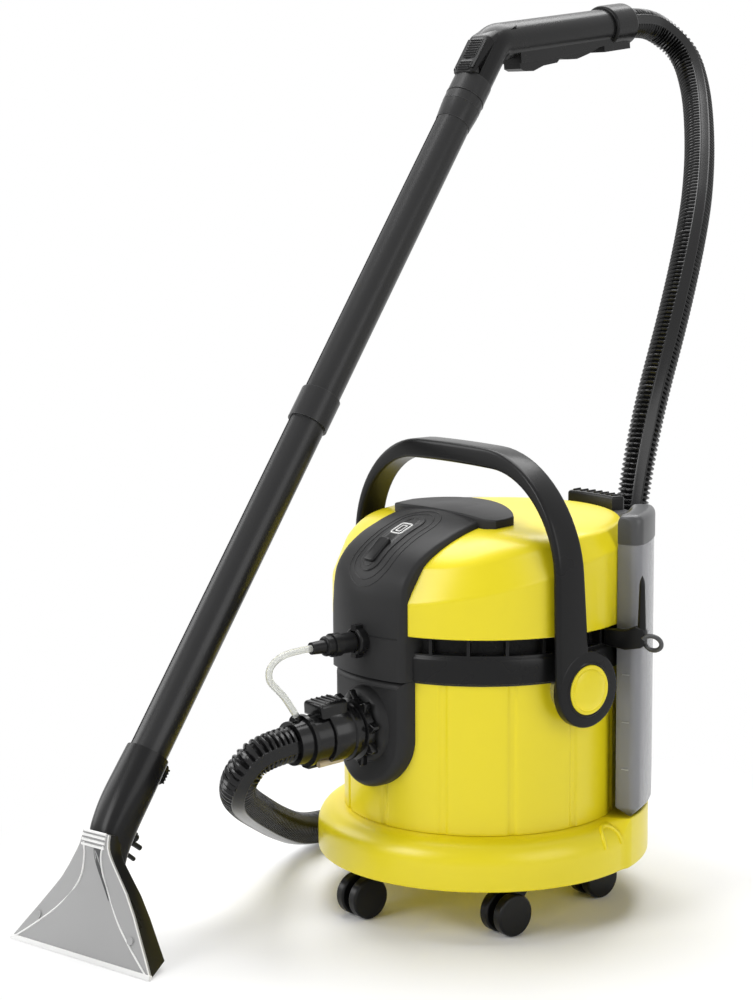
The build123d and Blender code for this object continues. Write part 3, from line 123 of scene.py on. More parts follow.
def box(left: float, right: float, low: float, high: float, radius: float, steps: int = 5) -> list[Pair]:
    """Counter-clockwise outline of a rectangle with round corners."""
    corners = [(left, low, radius), (right, low, radius), (right, high, radius), (left, high, radius)]
    return rounded(corners, closed=True, steps=steps)


def flowing(points: Sequence[Pair], steps: int = 10) -> list[Pair]:
    """Smooth line through a few points.

    Args:
        points: Points passed in order.
        steps: Pieces between two points.

    Returns:
        The points of the smooth line.
    """
    line: list[Pair] = []
    last = len(points) - 1
    for index in range(last):
        first, second = Vector(points[index]), Vector(points[index + 1])
        before = Vector(points[max(index - 1, 0)])
        after = Vector(points[min(index + 2, last)])
        leave = (second - before) / 2
        arrive = (after - first) / 2
        for step in range(steps):
            t = step / steps
            spot = (
                first * (2 * t ** 3 - 3 * t ** 2 + 1) + leave * (t ** 3 - 2 * t ** 2 + t)
                + second * (3 * t ** 2 - 2 * t ** 3) + arrive * (t ** 3 - t ** 2)
            )
            line.append((spot.x, spot.y))
    line.append(tuple(points[-1]))
    return line


def stadium(length: float, width: float, steps: int = 12, runs: int = 1) -> list[Pair]:
    """Outline of a slot with round ends.

    Args:
        length: Overall length along the first axis.
        width: Overall width.
        steps: Pieces in each round end.
        runs: Pieces in each straight side.

    Returns:
        Counter-clockwise points.
    """
    reach, radius = (length - width) / 2, width / 2
    line = []
    for end in (1, -1):
        for step in range(steps + 1):
            turn = math.pi * (step / steps - 0.5) + (0.0 if end == 1 else math.pi)
            line.append((end * reach + radius * math.cos(turn), radius * math.sin(turn)))
        line.extend((end * reach * (1 - 2 * step / runs), end * radius) for step in range(1, runs))
    return line


def sector(inner: float, outer: float, start: float, corner: float, steps: int = 48) -> list[Pair]:
    """Plan of a ring sector that wraps the machine's back, with round outer corners.

    Args:
        inner: Inner radius.
        outer: Outer radius.
        start: Angle of its first end; the last end mirrors it.
        corner: Radius of the outer corners.
        steps: Pieces along each arc.

    Returns:
        Counter-clockwise points.
    """
    trim = math.degrees(corner / outer)
    bend: list[Pair] = []
    for step in range(7):
        turn = math.pi / 2 * step / 6
        bend.append((outer - corner * (1 - math.sin(turn)), start + trim * (1 - math.cos(turn))))
    spots = [(inner, start), *bend]
    spots.extend((outer, mix(start + trim, 180.0 - start - trim, step / steps)) for step in range(1, steps))
    spots.extend((radius, 180.0 - angle) for radius, angle in reversed(bend))
    spots.extend((inner, mix(180.0 - start, start, step / steps)) for step in range(steps))
    return [tuple(polar(radius, angle, 0)[:2]) for radius, angle in spots]


def inset_outline(outline: Sequence[Pair], distance: float) -> list[Pair]:
    """Closed outline drawn in towards its inside.

    Args:
        outline: Points in counter-clockwise order.
        distance: How far each side moves in.

    Returns:
        The moved points.
    """
    moved: list[Pair] = []
    count = len(outline)
    for index in range(count):
        here = Vector(outline[index])
        back = (here - Vector(outline[index - 1])).normalized()
        ahead = (Vector(outline[(index + 1) % count]) - here).normalized()
        normal = Vector((-back.y - ahead.y, back.x + ahead.x))
        if normal.length < 1e-6:
            normal = Vector((-ahead.y, ahead.x))
        normal.normalize()
        lean = max(normal.dot(Vector((-ahead.y, ahead.x))), 0.4)
        moved.append((here.x + normal.x * distance / lean, here.y + normal.y * distance / lean))
    return moved


@dataclass(frozen=True)
class Seat:
    """Local frame in millimetres.

    Attributes:
        origin: Place of the frame.
        x: First axis.
        y: Second axis.
        z: Third axis.
    """

    origin: Triple
    x: Triple
    y: Triple
    z: Triple

    def at(self, u: float, v: float, w: float = 0.0) -> Vector:
        """Point in millimetres at distances along the three axes."""
        return Vector(self.origin) + Vector(self.x) * u + Vector(self.y) * v + Vector(self.z) * w


INLET = Seat((0, -134, 190), (1, 0, 0), (0, -0.0523, 0.9986), (0, -0.9986, -0.0523))
NECK = Seat((-95.305, -323.446, 172.0), (0.974, 0.2267, 0), (-0.1766, 0.7591, -0.6266), (-0.142, 0.6103, 0.7793))
FACE = Seat((-74, -415, 0), (0.974, 0.2267, 0), (-0.07, 0.301, 0.9511), (0.2156, -0.9263, 0.309))
GRIP = Seat((-217.159, 200.189, 840.672), (-0.225, 0.9667, 0.1219), (0.0276, -0.1187, 0.9925), (0.974, 0.2267, 0))


class Form:
    """Builds meshes from points in millimetres."""

    SHARP = math.radians(38.0)

    @staticmethod
    def mesh(name: str, points: Sequence[Vector], faces: Sequence[Sequence[int]]) -> bpy.types.Object:
        """Mesh object of shared points.

        Args:
            name: Object name.
            points: Points in millimetres.
            faces: Corner numbers of each face.

        Returns:
            The linked object.
        """
        data = bpy.data.meshes.new(name)
        data.from_pydata([tuple(point * MM) for point in points], [], [tuple(face) for face in faces])
        shape = bmesh.new()
        shape.from_mesh(data)
        bmesh.ops.remove_doubles(shape, verts=shape.verts, dist=1e-6)
        bmesh.ops.recalc_face_normals(shape, faces=shape.faces)
        shape.to_mesh(data)
        shape.free()
        data.polygons.foreach_set("use_smooth", [True] * len(data.polygons))
        data.set_sharp_from_angle(angle=Form.SHARP)
        piece = bpy.data.objects.new(name, data)
        bpy.context.scene.collection.objects.link(piece)
        return piece

    @staticmethod
    def grid(
        name: str, rows: Sequence[Sequence[Vector]], caps: bool = True, ring: bool = False
    ) -> bpy.types.Object:
        """Skin over closed rows that hold the same number of points.

        Args:
            name: Object name.
            rows: Rows of points in millimetres.
            caps: Whether the first and last rows are filled.
            ring: Whether the last row joins the first.

        Returns:
            The object.
        """
        width = len(rows[0])
        points = [point for row in rows for point in row]
        faces: list[Sequence[int]] = []
        for row in range(len(rows) if ring else len(rows) - 1):
            following = (row + 1) % len(rows)
            for column in range(width):
                beside = (column + 1) % width
                faces.append((
                    row * width + column,
                    row * width + beside,
                    following * width + beside,
                    following * width + column,
                ))
        if caps:
            faces.append(tuple(range(width)))
            faces.append(tuple(range((len(rows) - 1) * width, len(rows) * width)))
        return Form.mesh(name, points, faces)

    @staticmethod
    def lathe(name: str, profile: Sequence[Pair], seat: Seat) -> bpy.types.Object:
        """Turned shape around the third axis of a seat.

        Args:
            name: Object name.
            profile: Points as (radius, height), a closed line.
            seat: Frame of the axis.

        Returns:
            The object.
        """
        rows = [
            [seat.at(radius * math.cos(turn), radius * math.sin(turn), height) for turn in circle(72)]
            for radius, height in profile
        ]
        return Form.grid(name, rows, caps=False, ring=True)

    @staticmethod
    def slab(
        name: str,
        outline: Sequence[Pair],
        settle: Callable[[float, float, float], Vector],
        low: float,
        high: float,
        edge: float,
        foot: float = 0.0,
    ) -> bpy.types.Object:
        """Solid of one outline with rounded rims.

        Args:
            name: Object name.
            outline: Counter-clockwise points.
            settle: Turns (u, v, w) into a point in millimetres.
            low: Level of the back face.
            high: Level of the front face.
            edge: Radius of the front rim.
            foot: Radius of the back rim.

        Returns:
            The object.
        """
        levels: list[Pair] = []
        for step in range(5 if foot else 1):
            angle = math.pi / 2 * step / 4
            levels.append((foot * (1 - math.sin(angle)), low + foot * (1 - math.cos(angle))))
        for step in range(5 if edge else 1):
            angle = math.pi / 2 * step / 4
            levels.append((edge * (1 - math.cos(angle)), high - edge * (1 - math.sin(angle))))
        rows = []
        for inset, level in levels:
            line = inset_outline(outline, inset) if inset else outline
            rows.append([settle(u, v, level) for u, v in line])
        return Form.grid(name, rows)

    @staticmethod
    def pipe(name: str, points: Sequence[Vector], radius: float, sides: int = 12) -> bpy.types.Object:
        """Round bar along a line of points.

        Args:
            name: Object name.
            points: Line in millimetres.
            radius: Bar radius.
            sides: Steps around.

        Returns:
            The object.
        """
        rows = []
        side = Vector((0.31, 0.17, 0.93))
        for index, point in enumerate(points):
            ahead = points[min(index + 1, len(points) - 1)] - points[max(index - 1, 0)]
            side = (side - ahead * (side.dot(ahead) / ahead.length_squared)).normalized()
            other = ahead.normalized().cross(side)
            rows.append([
                point + (side * math.cos(turn) + other * math.sin(turn)) * radius
                for turn in circle(sides)
            ])
        return Form.grid(name, rows)


class NodeKit:
    """Shared surface effects kept as shader node groups."""

    @staticmethod
    def start(name: str, inputs: Sequence[tuple[str, float]], outputs: Sequence[str]) -> bpy.types.ShaderNodeTree:
        """New group with its sockets.

        Args:
            name: Group name.
            inputs: Input names with their defaults.
            outputs: Output names.

        Returns:
            The group.
        """
        group = bpy.data.node_groups.new(name, "ShaderNodeTree")
        for label, value in inputs:
            socket = group.interface.new_socket(label, in_out="INPUT", socket_type="NodeSocketFloat")
            socket.default_value = value
        for label in outputs:
            group.interface.new_socket(label, in_out="OUTPUT", socket_type="NodeSocketFloat")
        return group

    @staticmethod
    def grain() -> bpy.types.ShaderNodeTree:
        """Fine spark-eroded texture of moulded plastic.

        Returns:
            The group, with Height and Mottle outputs.
        """
        known = bpy.data.node_groups.get("moulded_grain")
        if known:
            return known
        group = NodeKit.start("moulded_grain", [("Scale", 900.0)], ["Height", "Mottle"])
        nodes, links = group.nodes, group.links
        entry = nodes.new("NodeGroupInput")
        leave = nodes.new("NodeGroupOutput")
        spot = nodes.new("ShaderNodeTexCoord")
        fine = nodes.new("ShaderNodeTexNoise")
        fine.inputs["Detail"].default_value = 3.0
        broad = nodes.new("ShaderNodeTexNoise")
        broad.inputs["Scale"].default_value = 14.0
        broad.inputs["Detail"].default_value = 4.0
        links.new(spot.outputs["Object"], fine.inputs["Vector"])
        links.new(spot.outputs["Object"], broad.inputs["Vector"])
        links.new(entry.outputs["Scale"], fine.inputs["Scale"])
        links.new(fine.outputs["Fac"], leave.inputs["Height"])
        links.new(broad.outputs["Fac"], leave.inputs["Mottle"])
        return group

    @staticmethod
    def edges() -> bpy.types.ShaderNodeTree:
        """Edges lightened for wear and as a painted highlight, found where a softened normal leaves the real one.

        Returns:
            The group, with a Mask output.
        """
        known = bpy.data.node_groups.get("rubbed_edges")
        if known:
            return known
        group = NodeKit.start("rubbed_edges", [("Radius", 0.0012)], ["Mask"])
        nodes, links = group.nodes, group.links
        entry = nodes.new("NodeGroupInput")
        leave = nodes.new("NodeGroupOutput")
        soft = nodes.new("ShaderNodeBevel")
        soft.samples = 4
        plain = nodes.new("ShaderNodeNewGeometry")
        meet = nodes.new("ShaderNodeVectorMath")
        meet.operation = "DOT_PRODUCT"
        span = nodes.new("ShaderNodeMapRange")
        span.inputs["From Min"].default_value = 0.995
        span.inputs["From Max"].default_value = 0.8
        links.new(entry.outputs["Radius"], soft.inputs["Radius"])
        links.new(soft.outputs["Normal"], meet.inputs[0])
        links.new(plain.outputs["Normal"], meet.inputs[1])
        links.new(meet.outputs["Value"], span.inputs["Value"])
        links.new(span.outputs["Result"], leave.inputs["Mask"])
        return group


@dataclass(frozen=True)
class Surface:
    """Finish whose roughness wanders a little over the piece.

    Attributes:
        name: Material name.
        colour: Linear base colour.
        roughness: Mean roughness.
    """

    name: str
    colour: Colour
    roughness: float

    WANDER: ClassVar[float] = 0.2

    def material(self) -> bpy.types.Material:
        """Procedural material of this finish.

        Returns:
            The material, made once.
        """
        known = bpy.data.materials.get(self.name)
        if known:
            return known
        made = bpy.data.materials.new(self.name)
        made.use_nodes = True
        nodes, links = made.node_tree.nodes, made.node_tree.links
        shader = nodes["Principled BSDF"]
        grain = nodes.new("ShaderNodeGroup")
        grain.node_tree = NodeKit.grain()
        spread = nodes.new("ShaderNodeMapRange")
        spread.inputs["To Min"].default_value = self.roughness * (1 - self.WANDER)
        spread.inputs["To Max"].default_value = self.roughness * (1 + self.WANDER)
        links.new(grain.outputs["Mottle"], spread.inputs["Value"])
        links.new(spread.outputs["Result"], shader.inputs["Roughness"])
        self.detail(made.node_tree, shader, grain)
        return made

    def detail(self, tree: bpy.types.NodeTree, shader: bpy.types.ShaderNode, grain: bpy.types.ShaderNode) -> None:
        """Give the shader its plain colour."""
        shader.inputs["Base Color"].default_value = (*self.colour, 1.0)


@dataclass(frozen=True)
class Plastic(Surface):
    """Moulded plastic or rubber.

    Attributes:
        grain: Height of the fine texture in millimetres.
        scale: Fineness of that texture.
        edge: Lightening of edges, for wear and as a painted highlight.
        specular: Specular level.
    """

    grain: float = 0.02
    scale: float = 900.0
    edge: float = 0.0
    specular: float = 0.5

    WANDER: ClassVar[float] = 0.14

    def detail(self, tree: bpy.types.NodeTree, shader: bpy.types.ShaderNode, grain: bpy.types.ShaderNode) -> None:
        """Add the fine texture and the edges lightened for wear and as a painted highlight.

        Args:
            tree: Node tree of the material.
            shader: Its surface shader.
            grain: Its grain group.
        """
        nodes, links = tree.nodes, tree.links
        shader.inputs["Specular IOR Level"].default_value = self.specular
        grain.inputs["Scale"].default_value = self.scale
        bump = nodes.new("ShaderNodeBump")
        bump.inputs["Distance"].default_value = self.grain * MM
        bump.inputs["Strength"].default_value = 0.6
        links.new(grain.outputs["Height"], bump.inputs["Height"])
        links.new(bump.outputs["Normal"], shader.inputs["Normal"])
        tone = nodes.new("ShaderNodeMix")
        tone.data_type = "RGBA"
        tone.inputs["A"].default_value = (*self.colour, 1.0)
        # Edge tone: partly wear, partly a painted highlight where edges and groove rims catch the light.
        edge_wear_and_highlight_tone = tuple(min(part * (1 + self.edge) + 0.06 * self.edge, 1.0) for part in self.colour)
        tone.inputs["B"].default_value = (*edge_wear_and_highlight_tone, 1.0)
        edges = nodes.new("ShaderNodeGroup")
        edges.node_tree = NodeKit.edges()
        links.new(edges.outputs["Mask"], tone.inputs["Factor"])
        links.new(tone.outputs["Result"], shader.inputs["Base Color"])


@dataclass(frozen=True)
class Clear(Surface):
    """See-through moulding.

    Attributes:
        passing: Share of light let through.
    """

    passing: float

    BENDING: ClassVar[float] = 1.35

    def detail(self, tree: bpy.types.NodeTree, shader: bpy.types.ShaderNode, grain: bpy.types.ShaderNode) -> None:
        """Let light through the tinted moulding.

        Args:
            tree: Node tree of the material.
            shader: Its surface shader.
            grain: Its grain group.
        """
        super().detail(tree, shader, grain)
        shader.inputs["Transmission Weight"].default_value = self.passing
        shader.inputs["IOR"].default_value = self.BENDING


@dataclass(frozen=True)
class Metal(Surface):
    """Bright metal."""

    def detail(self, tree: bpy.types.NodeTree, shader: bpy.types.ShaderNode, grain: bpy.types.ShaderNode) -> None:
        """Make the shader metallic."""
        super().detail(tree, shader, grain)
        shader.inputs["Metallic"].default_value = 1.0


class Finish(Enum):
    """Finishes of the machine, each with the record's slot it stands for."""

    YELLOW = ("yellow", Plastic("yellow_gloss", (0.88, 0.735, 0.010), 0.32, 0.006, 700.0, 0.1))
    BLACK = ("black", Plastic("charcoal_satin", (0.027, 0.027, 0.0275), 0.40, 0.03, 1300.0, 0.1, 0.12))
    DARK = ("black", Plastic("wand_black", (0.009, 0.009, 0.0093), 0.28, 0.02, 1300.0, 0.2, 0.18))
    # The tubes' strong edge lightening is mostly a painted highlight along their grooves.
    WAND = ("black", Plastic("tube_black", (0.019, 0.019, 0.0195), 0.30, 0.02, 1300.0, 0.6, 0.25))
    HOSE = ("hose_black", Plastic("hose_rubber", (0.006, 0.006, 0.0063), 0.2, 0.01, 1500.0, 0.0, 0.32))
    WHEEL = ("wheel_black", Plastic("wheel_rubber", (0.008, 0.008, 0.0085), 0.3, 0.02, 1100.0, 0.1, 0.2))
    SEAL = ("seal_black", Plastic("seal_rubber", (0.02, 0.02, 0.02), 0.7, 0.01, 900.0))
    GREY = ("grey", Plastic("tank_cap_grey", (0.055, 0.056, 0.058), 0.38, 0.02, 1200.0, 0.3))
    LIGHT_GREY = ("light_grey", Plastic("valve_grey", (0.40, 0.41, 0.42), 0.4, 0.015, 1000.0, 0.1))
    WHITE = ("white", Plastic("lip_white", (0.80, 0.80, 0.79), 0.38, 0.01, 1000.0))
    TANK = ("clear_tank", Clear("tank_smoke", (0.42, 0.425, 0.445), 0.22, 0.5))
    WINDOW = ("clear_window", Clear("window_smoke", (0.45, 0.45, 0.45), 0.25, 0.2))
    TUBE = ("clear_tube", Clear("tube_clear", (0.80, 0.81, 0.77), 0.12, 0.6))
    STUB = ("clear_tube", Clear("amber_tube", (0.72, 0.60, 0.40), 0.2, 0.3))
    STEEL = ("steel", Metal("bright_steel", (0.62, 0.62, 0.63), 0.28))
    MOTOR = ("motor_metal", Metal("motor_case", (0.5, 0.5, 0.51), 0.4))

    def coat(self, piece: bpy.types.Object) -> None:
        """Give a piece this finish.

        Args:
            piece: Mesh object.
        """
        slot, look = self.value
        piece.data.materials.clear()
        piece.data.materials.append(look.material())


def place(piece: bpy.types.Object, finish: Finish, body: str, *nodes: str) -> bpy.types.Object:
    """Finish a piece, hang it on its body and let it stand for CAD nodes.

    Args:
        piece: Mesh object.
        finish: Look of the piece.
        body: Body it moves with.
        nodes: CAD nodes it stands for.

    Returns:
        The same object.
    """
    finish.coat(piece)
    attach(piece, body)
    if nodes:
        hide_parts(*nodes)
    return piece


def bars(
    name: str, lines: Iterable[Sequence[Vector]], radius: float, finish: Finish, body: str = "machine", sides: int = 8
) -> None:
    """Numbered row of round bars.

    Args:
        name: Name that the numbers are added to.
        lines: Line of each bar in millimetres.
        radius: Bar radius.
        finish: Look of the bars.
        body: Body they move with.
        sides: Steps around a bar.
    """
    for number, line in enumerate(lines):
        place(Form.pipe(f"{name}_{number}", line, radius, sides), finish, body)


@dataclass
class Tub:
    """Base tray, waste tank and collar band.

    Attributes:
        base_radius: Outer radius of the tray.
        seat_radius: Outer radius of the water tank's seat.
        shoulder: Radius of the tray's rounded shoulder.
        deck: Level of the tray's top.
        skirt: Level of the tray's lower rim.
        radius: Radius of the waste tank.
        grooves: Flutes around the waste tank.
        groove_depth: Depth of a flute.
        band_radius: Outer radius of the collar's lower band.
        vent_radius: Outer radius of the collar's vented strip.
    """

    base_radius: float = 160.0
    seat_radius: float = 164.0
    shoulder: float = 22.0
    deck: float = 94.0
    skirt: float = 48.0
    radius: float = 134.0
    grooves: int = 13
    groove_depth: float = 1.5
    band_radius: float = 139.0
    vent_radius: float = 137.0

    def build(self) -> None:
        """Make the tray with its lug, the waste tank and the collar."""
        self.tray()
        self.lug()
        self.barrel()
        self.collar()

    def seat_share(self, degrees: float) -> float:
        """How far the shoulder is filled out at an angle: 0 where it is round, 1 under the water tank."""
        return smooth(90.0 - abs(degrees - 90.0), 16.5, 19.5)

    def tray(self) -> None:
        """Round tray with the water tank's seat."""
        columns = [360.0 * step / 240 for step in range(240)]
        wall = 5.0
        lines = []
        for degrees in columns:
            share = self.seat_share(degrees)
            reach = mix(self.base_radius, self.seat_radius, share)
            top = self.deck + 0.02 + 3.0 * share
            inner = mix(110.0, self.seat_radius - 3.0, share)
            lines.append(rounded([
                (0.0, self.deck, 0.0),
                (inner, self.deck, 0.3),
                (inner, top, 1.0),
                (reach, top, mix(self.shoulder, 1.4, share)),
                (reach, self.skirt, 4.0),
                (self.base_radius - wall, self.skirt, 1.5),
                (self.base_radius - wall, self.deck - wall, 17.0),
                (0.0, self.deck - wall, 0.0),
            ], steps=8))
        place(Form.grid("tray", around(columns, lines), caps=False), Finish.YELLOW, "machine", "base_chassis")

    def lug(self) -> None:
        """Raised arch on the tray's shoulder beside the water tank."""
        reach, level = self.base_radius - self.shoulder, self.deck - self.shoulder
        line = []
        for step in range(25):
            turn = math.pi * step / 24
            degrees = 11.5 - 4.6 * math.cos(turn)
            up = math.radians(8.0 + 58.0 * math.sin(turn) ** 0.8)
            line.append(polar(reach + self.shoulder * math.cos(up), degrees, level + self.shoulder * math.sin(up)))
        place(Form.pipe("tray_lug", line, 2.2), Finish.YELLOW, "machine")

    def flute(self, degrees: float) -> float:
        """Depth of the nearest flute at an angle.

        Args:
            degrees: Angle around the axis.

        Returns:
            Depth in millimetres.
        """
        pitch = 360.0 / self.grooves
        away = abs((degrees + pitch / 2) % pitch - pitch / 2)
        arc = math.radians(away) * self.radius
        return self.groove_depth * (1.0 - smooth(arc, 2.2, 4.6))

    def barrel(self) -> None:
        """Fluted waste tank, open at the top."""
        pitch = 360.0 / self.grooves
        shares = (0.0, 0.03, 0.045, 0.06, 0.075, 0.11, 0.2, 0.35, 0.5, 0.65, 0.8, 0.89, 0.925, 0.94, 0.955, 0.97)
        columns = [pitch * (groove + share) for groove in range(self.grooves) for share in shares]
        profile = (
            (0.0, 94.5), (126.0, 94.5), (None, 94.5), (None, 236.0), (130.0, 236.0), (128.0, 98.0), (0.0, 98.0),
        )
        rows = []
        for reach, level in profile:
            rows.append([
                polar(self.radius - self.flute(degrees) if reach is None else reach, degrees, level)
                for degrees in columns
            ])
        place(Form.grid("waste_barrel", rows, caps=False), Finish.YELLOW, "machine", "waste_tank")

    def collar(self) -> None:
        """Collar with a plain lower band and a strip of air outlets."""
        columns: list[tuple[float, bool]] = []
        pitch, half = 15.0, 6.9
        for step in range(24):
            middle = -90.0 + pitch * (step + 0.5)
            columns.append((middle - half, False))
            columns.extend((middle + mix(-half + 0.1, half - 0.1, share / 6), True) for share in range(7))
            columns.append((middle + half, False))
        levels = (
            (128.0, 238.2, False), (self.band_radius - 2.0, 238.2, False), (self.band_radius - 0.6, 238.8, False),
            (self.band_radius, 240.2, False), (self.band_radius, 260.0, False), (self.band_radius - 0.6, 261.6, False),
            (self.vent_radius + 0.4, 263.0, False), (self.vent_radius, 264.0, False), (self.vent_radius, 265.0, False),
            (self.vent_radius, 265.2, True), (self.vent_radius, 279.0, True), (self.vent_radius, 279.2, False),
            (self.vent_radius, 281.0, False), (128.0, 281.0, False),
        )
        rows = [
            [polar(radius - (9.0 if inside and vent else 0.0), degrees, level) for degrees, inside in columns]
            for radius, level, vent in levels
        ]
        place(Form.grid("vent_collar", rows, caps=False, ring=True), Finish.DARK, "machine", "collar_ring")


@dataclass
class Head:
    """Domed cover with its console strip.

    Attributes:
        radius: Radius of the upright wall.
        crown: Radius of the upper crease.
        foot: Level of the wall's foot.
        top: Level of the crown.
        half: Half width of the console strip at its foot.
        flare: Extra half width of the strip at its top.
        middle: Distance up the strip to the middle of the switch.
    """

    radius: float = 144.0
    crown: float = 134.0
    foot: float = 281.3
    top: float = 377.0
    half: float = 54.0
    flare: float = 4.0
    middle: float = 141.0

    MIDDLE_LINE = (
        (-150.0, 238.4), (-150.0, 262.0), (-150.0, 290.0), (-149.3, 306.0), (-147.3, 321.0), (-140.5, 338.0),
        (-125.5, 354.0), (-104.5, 367.0), (-86.0, 375.0), (-73.6, 379.6), (-53.0, 385.0), (-30.0, 387.8),
        (-10.0, 389.0),
    )

    def build(self) -> None:
        """Make the dome and every piece of the console."""
        self.dome()
        self.strip()
        self.tail()
        self.switch()
        self.panel()

    @staticmethod
    def lower_crease(y: float) -> float:
        """Level of the dome's lower crease at a distance behind the axis."""
        return 346.0 + y * mix(0.254, 0.14, smooth(y, -40.0, 40.0))

    @staticmethod
    def upper_crease(y: float) -> float:
        """Level of the dome's upper crease at a distance behind the axis."""
        return 365.5 + y * mix(0.2, 0.07, smooth(y, -40.0, 40.0))

    def dome(self) -> None:
        """Yellow cover with two leaning creases."""
        columns = [2.0 * turn for turn in range(180)]
        inward = [1.0, 0.994, 0.985, 0.97, 0.95, *(0.92 - 0.0575 * step for step in range(16)), 0.0]
        lines = []
        for degrees in columns:
            sine = math.sin(math.radians(degrees))
            front = smooth(-sine, 0.3, 0.85)
            rim = self.crown - 4.0 * smooth(-sine, 0.6, 0.95)
            low, high = self.lower_crease(self.radius * sine), self.upper_crease(rim * sine)
            line: list[Pair] = [
                (self.radius - 8.0, self.foot), (self.radius - 0.8, self.foot), (self.radius, self.foot + 0.9),
            ]
            line.extend((self.radius, mix(self.foot + 0.9, low, share)) for share in (0.33, 0.66))
            line.extend((self.radius, low - drop) for drop in (1.8, 0.9))
            line.extend((mix(self.radius, rim, s), mix(low, high, s)) for s in (0.04, 0.08, 0.35, 0.65, 0.95))
            for share in inward:
                rise = (1.0 - share ** mix(7.0, 3.2, front)) ** mix(0.62, 0.8, front)
                line.append((rim * share, mix(high, self.top, rise)))
            lines.append(line)
        place(Form.grid("head_dome", around(columns, lines), caps=False), Finish.YELLOW, "machine", "head_cover")

    def station(self, distance: float) -> tuple[Vector, Vector]:
        """Place on the strip's middle line.

        Args:
            distance: Distance up the strip from the middle of the switch.

        Returns:
            Point and outward direction.
        """
        line = [Vector((0.0, y, z)) for y, z in flowing(self.MIDDLE_LINE, 6)]
        last = len(line) - 1
        left = self.middle + distance
        index = 0
        while index < last - 1 and left > (line[index + 1] - line[index]).length:
            left -= (line[index + 1] - line[index]).length
            index += 1
        share = left / (line[index + 1] - line[index]).length
        outs = []
        for spot in (index, index + 1):
            ahead = line[min(spot + 1, last)] - line[max(spot - 1, 0)]
            outs.append(Vector((0.0, -ahead.z, ahead.y)).normalized())
        return line[index].lerp(line[index + 1], share), outs[0].lerp(outs[1], min(max(share, 0.0), 1.0)).normalized()

    def spot(self, u: float, v: float, lift: float) -> Vector:
        """Point on the console strip.

        Args:
            u: Distance up the strip from the middle of the switch.
            v: Distance across it.
            lift: Height above the surface.

        Returns:
            The point in millimetres.
        """
        point, out = self.station(u)
        bow = mix(150.0, 330.0, smooth(u, -70.0, 10.0))
        return point + Vector((v, 0.0, 0.0)) + out * (lift - bow + math.sqrt(bow ** 2 - v ** 2))

    def strip(self) -> None:
        """Black console strip with soft edges."""
        arc = [(1.0 - math.cos(turn), math.sin(turn)) for turn in (0.0, 0.3, 0.6, 0.9, 1.2, 1.57)]
        rows = []
        for u in (mix(-self.middle, 104.0, step / 70) for step in range(71)):
            half = self.half + self.flare * smooth(u, -60.0, 20.0)
            side = [(-half, depth) for depth in (-26.0, -12.0, -5.0)]
            side.extend((-half + 3.5 * inset, -4.0 + 4.0 * rise) for inset, rise in arc)
            section = [*side, *((0.1 * step * (half - 3.5), 0.0) for step in range(-9, 10))]
            section.extend((-across, depth) for across, depth in reversed(side))
            rows.append([self.spot(u, across, depth) for across, depth in section])
        place(Form.grid("console_strip", rows), Finish.BLACK, "machine", "console")
        seam = [self.spot(-101.0, across, -0.2) for across in range(14, 50, 2)]
        place(Form.pipe("console_seam", seam, 0.7, 6), Finish.DARK, "machine")

    def tail(self) -> None:
        """Broad rear end of the strip with its squared corners."""
        right = flowing([(76, -46), (77, -35), (76, -25)], 4)
        rear = flowing([(75, -23), (58, -11), (30, 1), (0, 6), (-30, 1), (-58, -11), (-75, -23)], 5)
        left = [(-u, v) for u, v in reversed(right)]
        front = [(mix(-66, 66, step / 12), -52.0) for step in range(13)]

        def settle(u: float, v: float, w: float) -> Vector:
            """Point on the tail's bowed and rising top."""
            level = mix(385.4, 389.6, smooth(v, -60.0, 6.0))
            return Vector((u, v, level - u * u / 1700.0 + w))

        place(
            Form.slab("console_tail", [*right, *rear, *left, *front], settle, -15.0, 0.8, 1.6, 1.0),
            Finish.BLACK, "machine",
        )

    def pad(self, name: str, length: float, width: float, lift: float) -> bpy.types.Object:
        """Raised capsule that follows the strip.

        Args:
            name: Object name.
            length: Overall length.
            width: Overall width.
            lift: Height above the strip.

        Returns:
            The object.
        """
        reach, radius = length / 2, width / 2
        rows = []
        for step in range(33):
            u = -reach * math.cos(math.pi * step / 32)
            over = max(abs(u) - reach + radius, 0.0)
            wide = max(math.sqrt(max(radius ** 2 - over ** 2, 0.0)), 0.3)
            edge = min(0.8, 0.4 * wide)
            half = [(wide, -3.0), (wide, lift - edge), (wide - 0.3 * edge, lift - 0.3 * edge), (wide - edge, lift)]
            section = [*half, (0.5 * wide, lift), (0.0, lift), (-0.5 * wide, lift)]
            section.extend((-across, height) for across, height in reversed(half))
            rows.append([self.spot(u, across, height) for across, height in section])
        return Form.grid(name, rows)

    def switch(self) -> None:
        """Capsule around the rocker, its rings and a plain mark."""
        place(self.pad("switch_capsule", 83.0, 28.0, 1.2), Finish.BLACK, "machine", "switch_bezel")
        place(self.pad("switch_floor", 74.0, 19.0, 1.5), Finish.DARK, "machine")
        rocker = box(-14, 14, -7.5, 7.5, 3)
        place(
            Form.slab("switch_rocker", rocker, lambda u, v, w: self.spot(u - 18.0, v, w + 0.06 * u), -2.0, 5.0, 1.6),
            Finish.DARK, "rocker", "power_rocker",
        )
        for number, grow in enumerate((8.0, 15.0)):
            ring = [self.spot(u, v, 0.0) for u, v in stadium(83.0 + 2 * grow, 28.0 + 2 * grow, 16, 10)]
            place(Form.pipe(f"switch_ring_{number}", ring + ring[:1], 0.6, 6), Finish.BLACK, "machine")
        mark = [self.spot(u, v, 1.8) for u, v in box(7, 24, -7.5, 7.5, 2.5)]
        place(Form.pipe("switch_mark_frame", mark + mark[:1], 0.8, 6), Finish.WHITE, "machine")
        drop_line = [self.spot(15.5 + u, v, 1.8) for u, v in ((-5, -3), (5, -3), (5, 3), (-5, 3), (-5, -3))]
        place(Form.pipe("switch_mark", drop_line, 0.7, 6), Finish.WHITE, "machine")

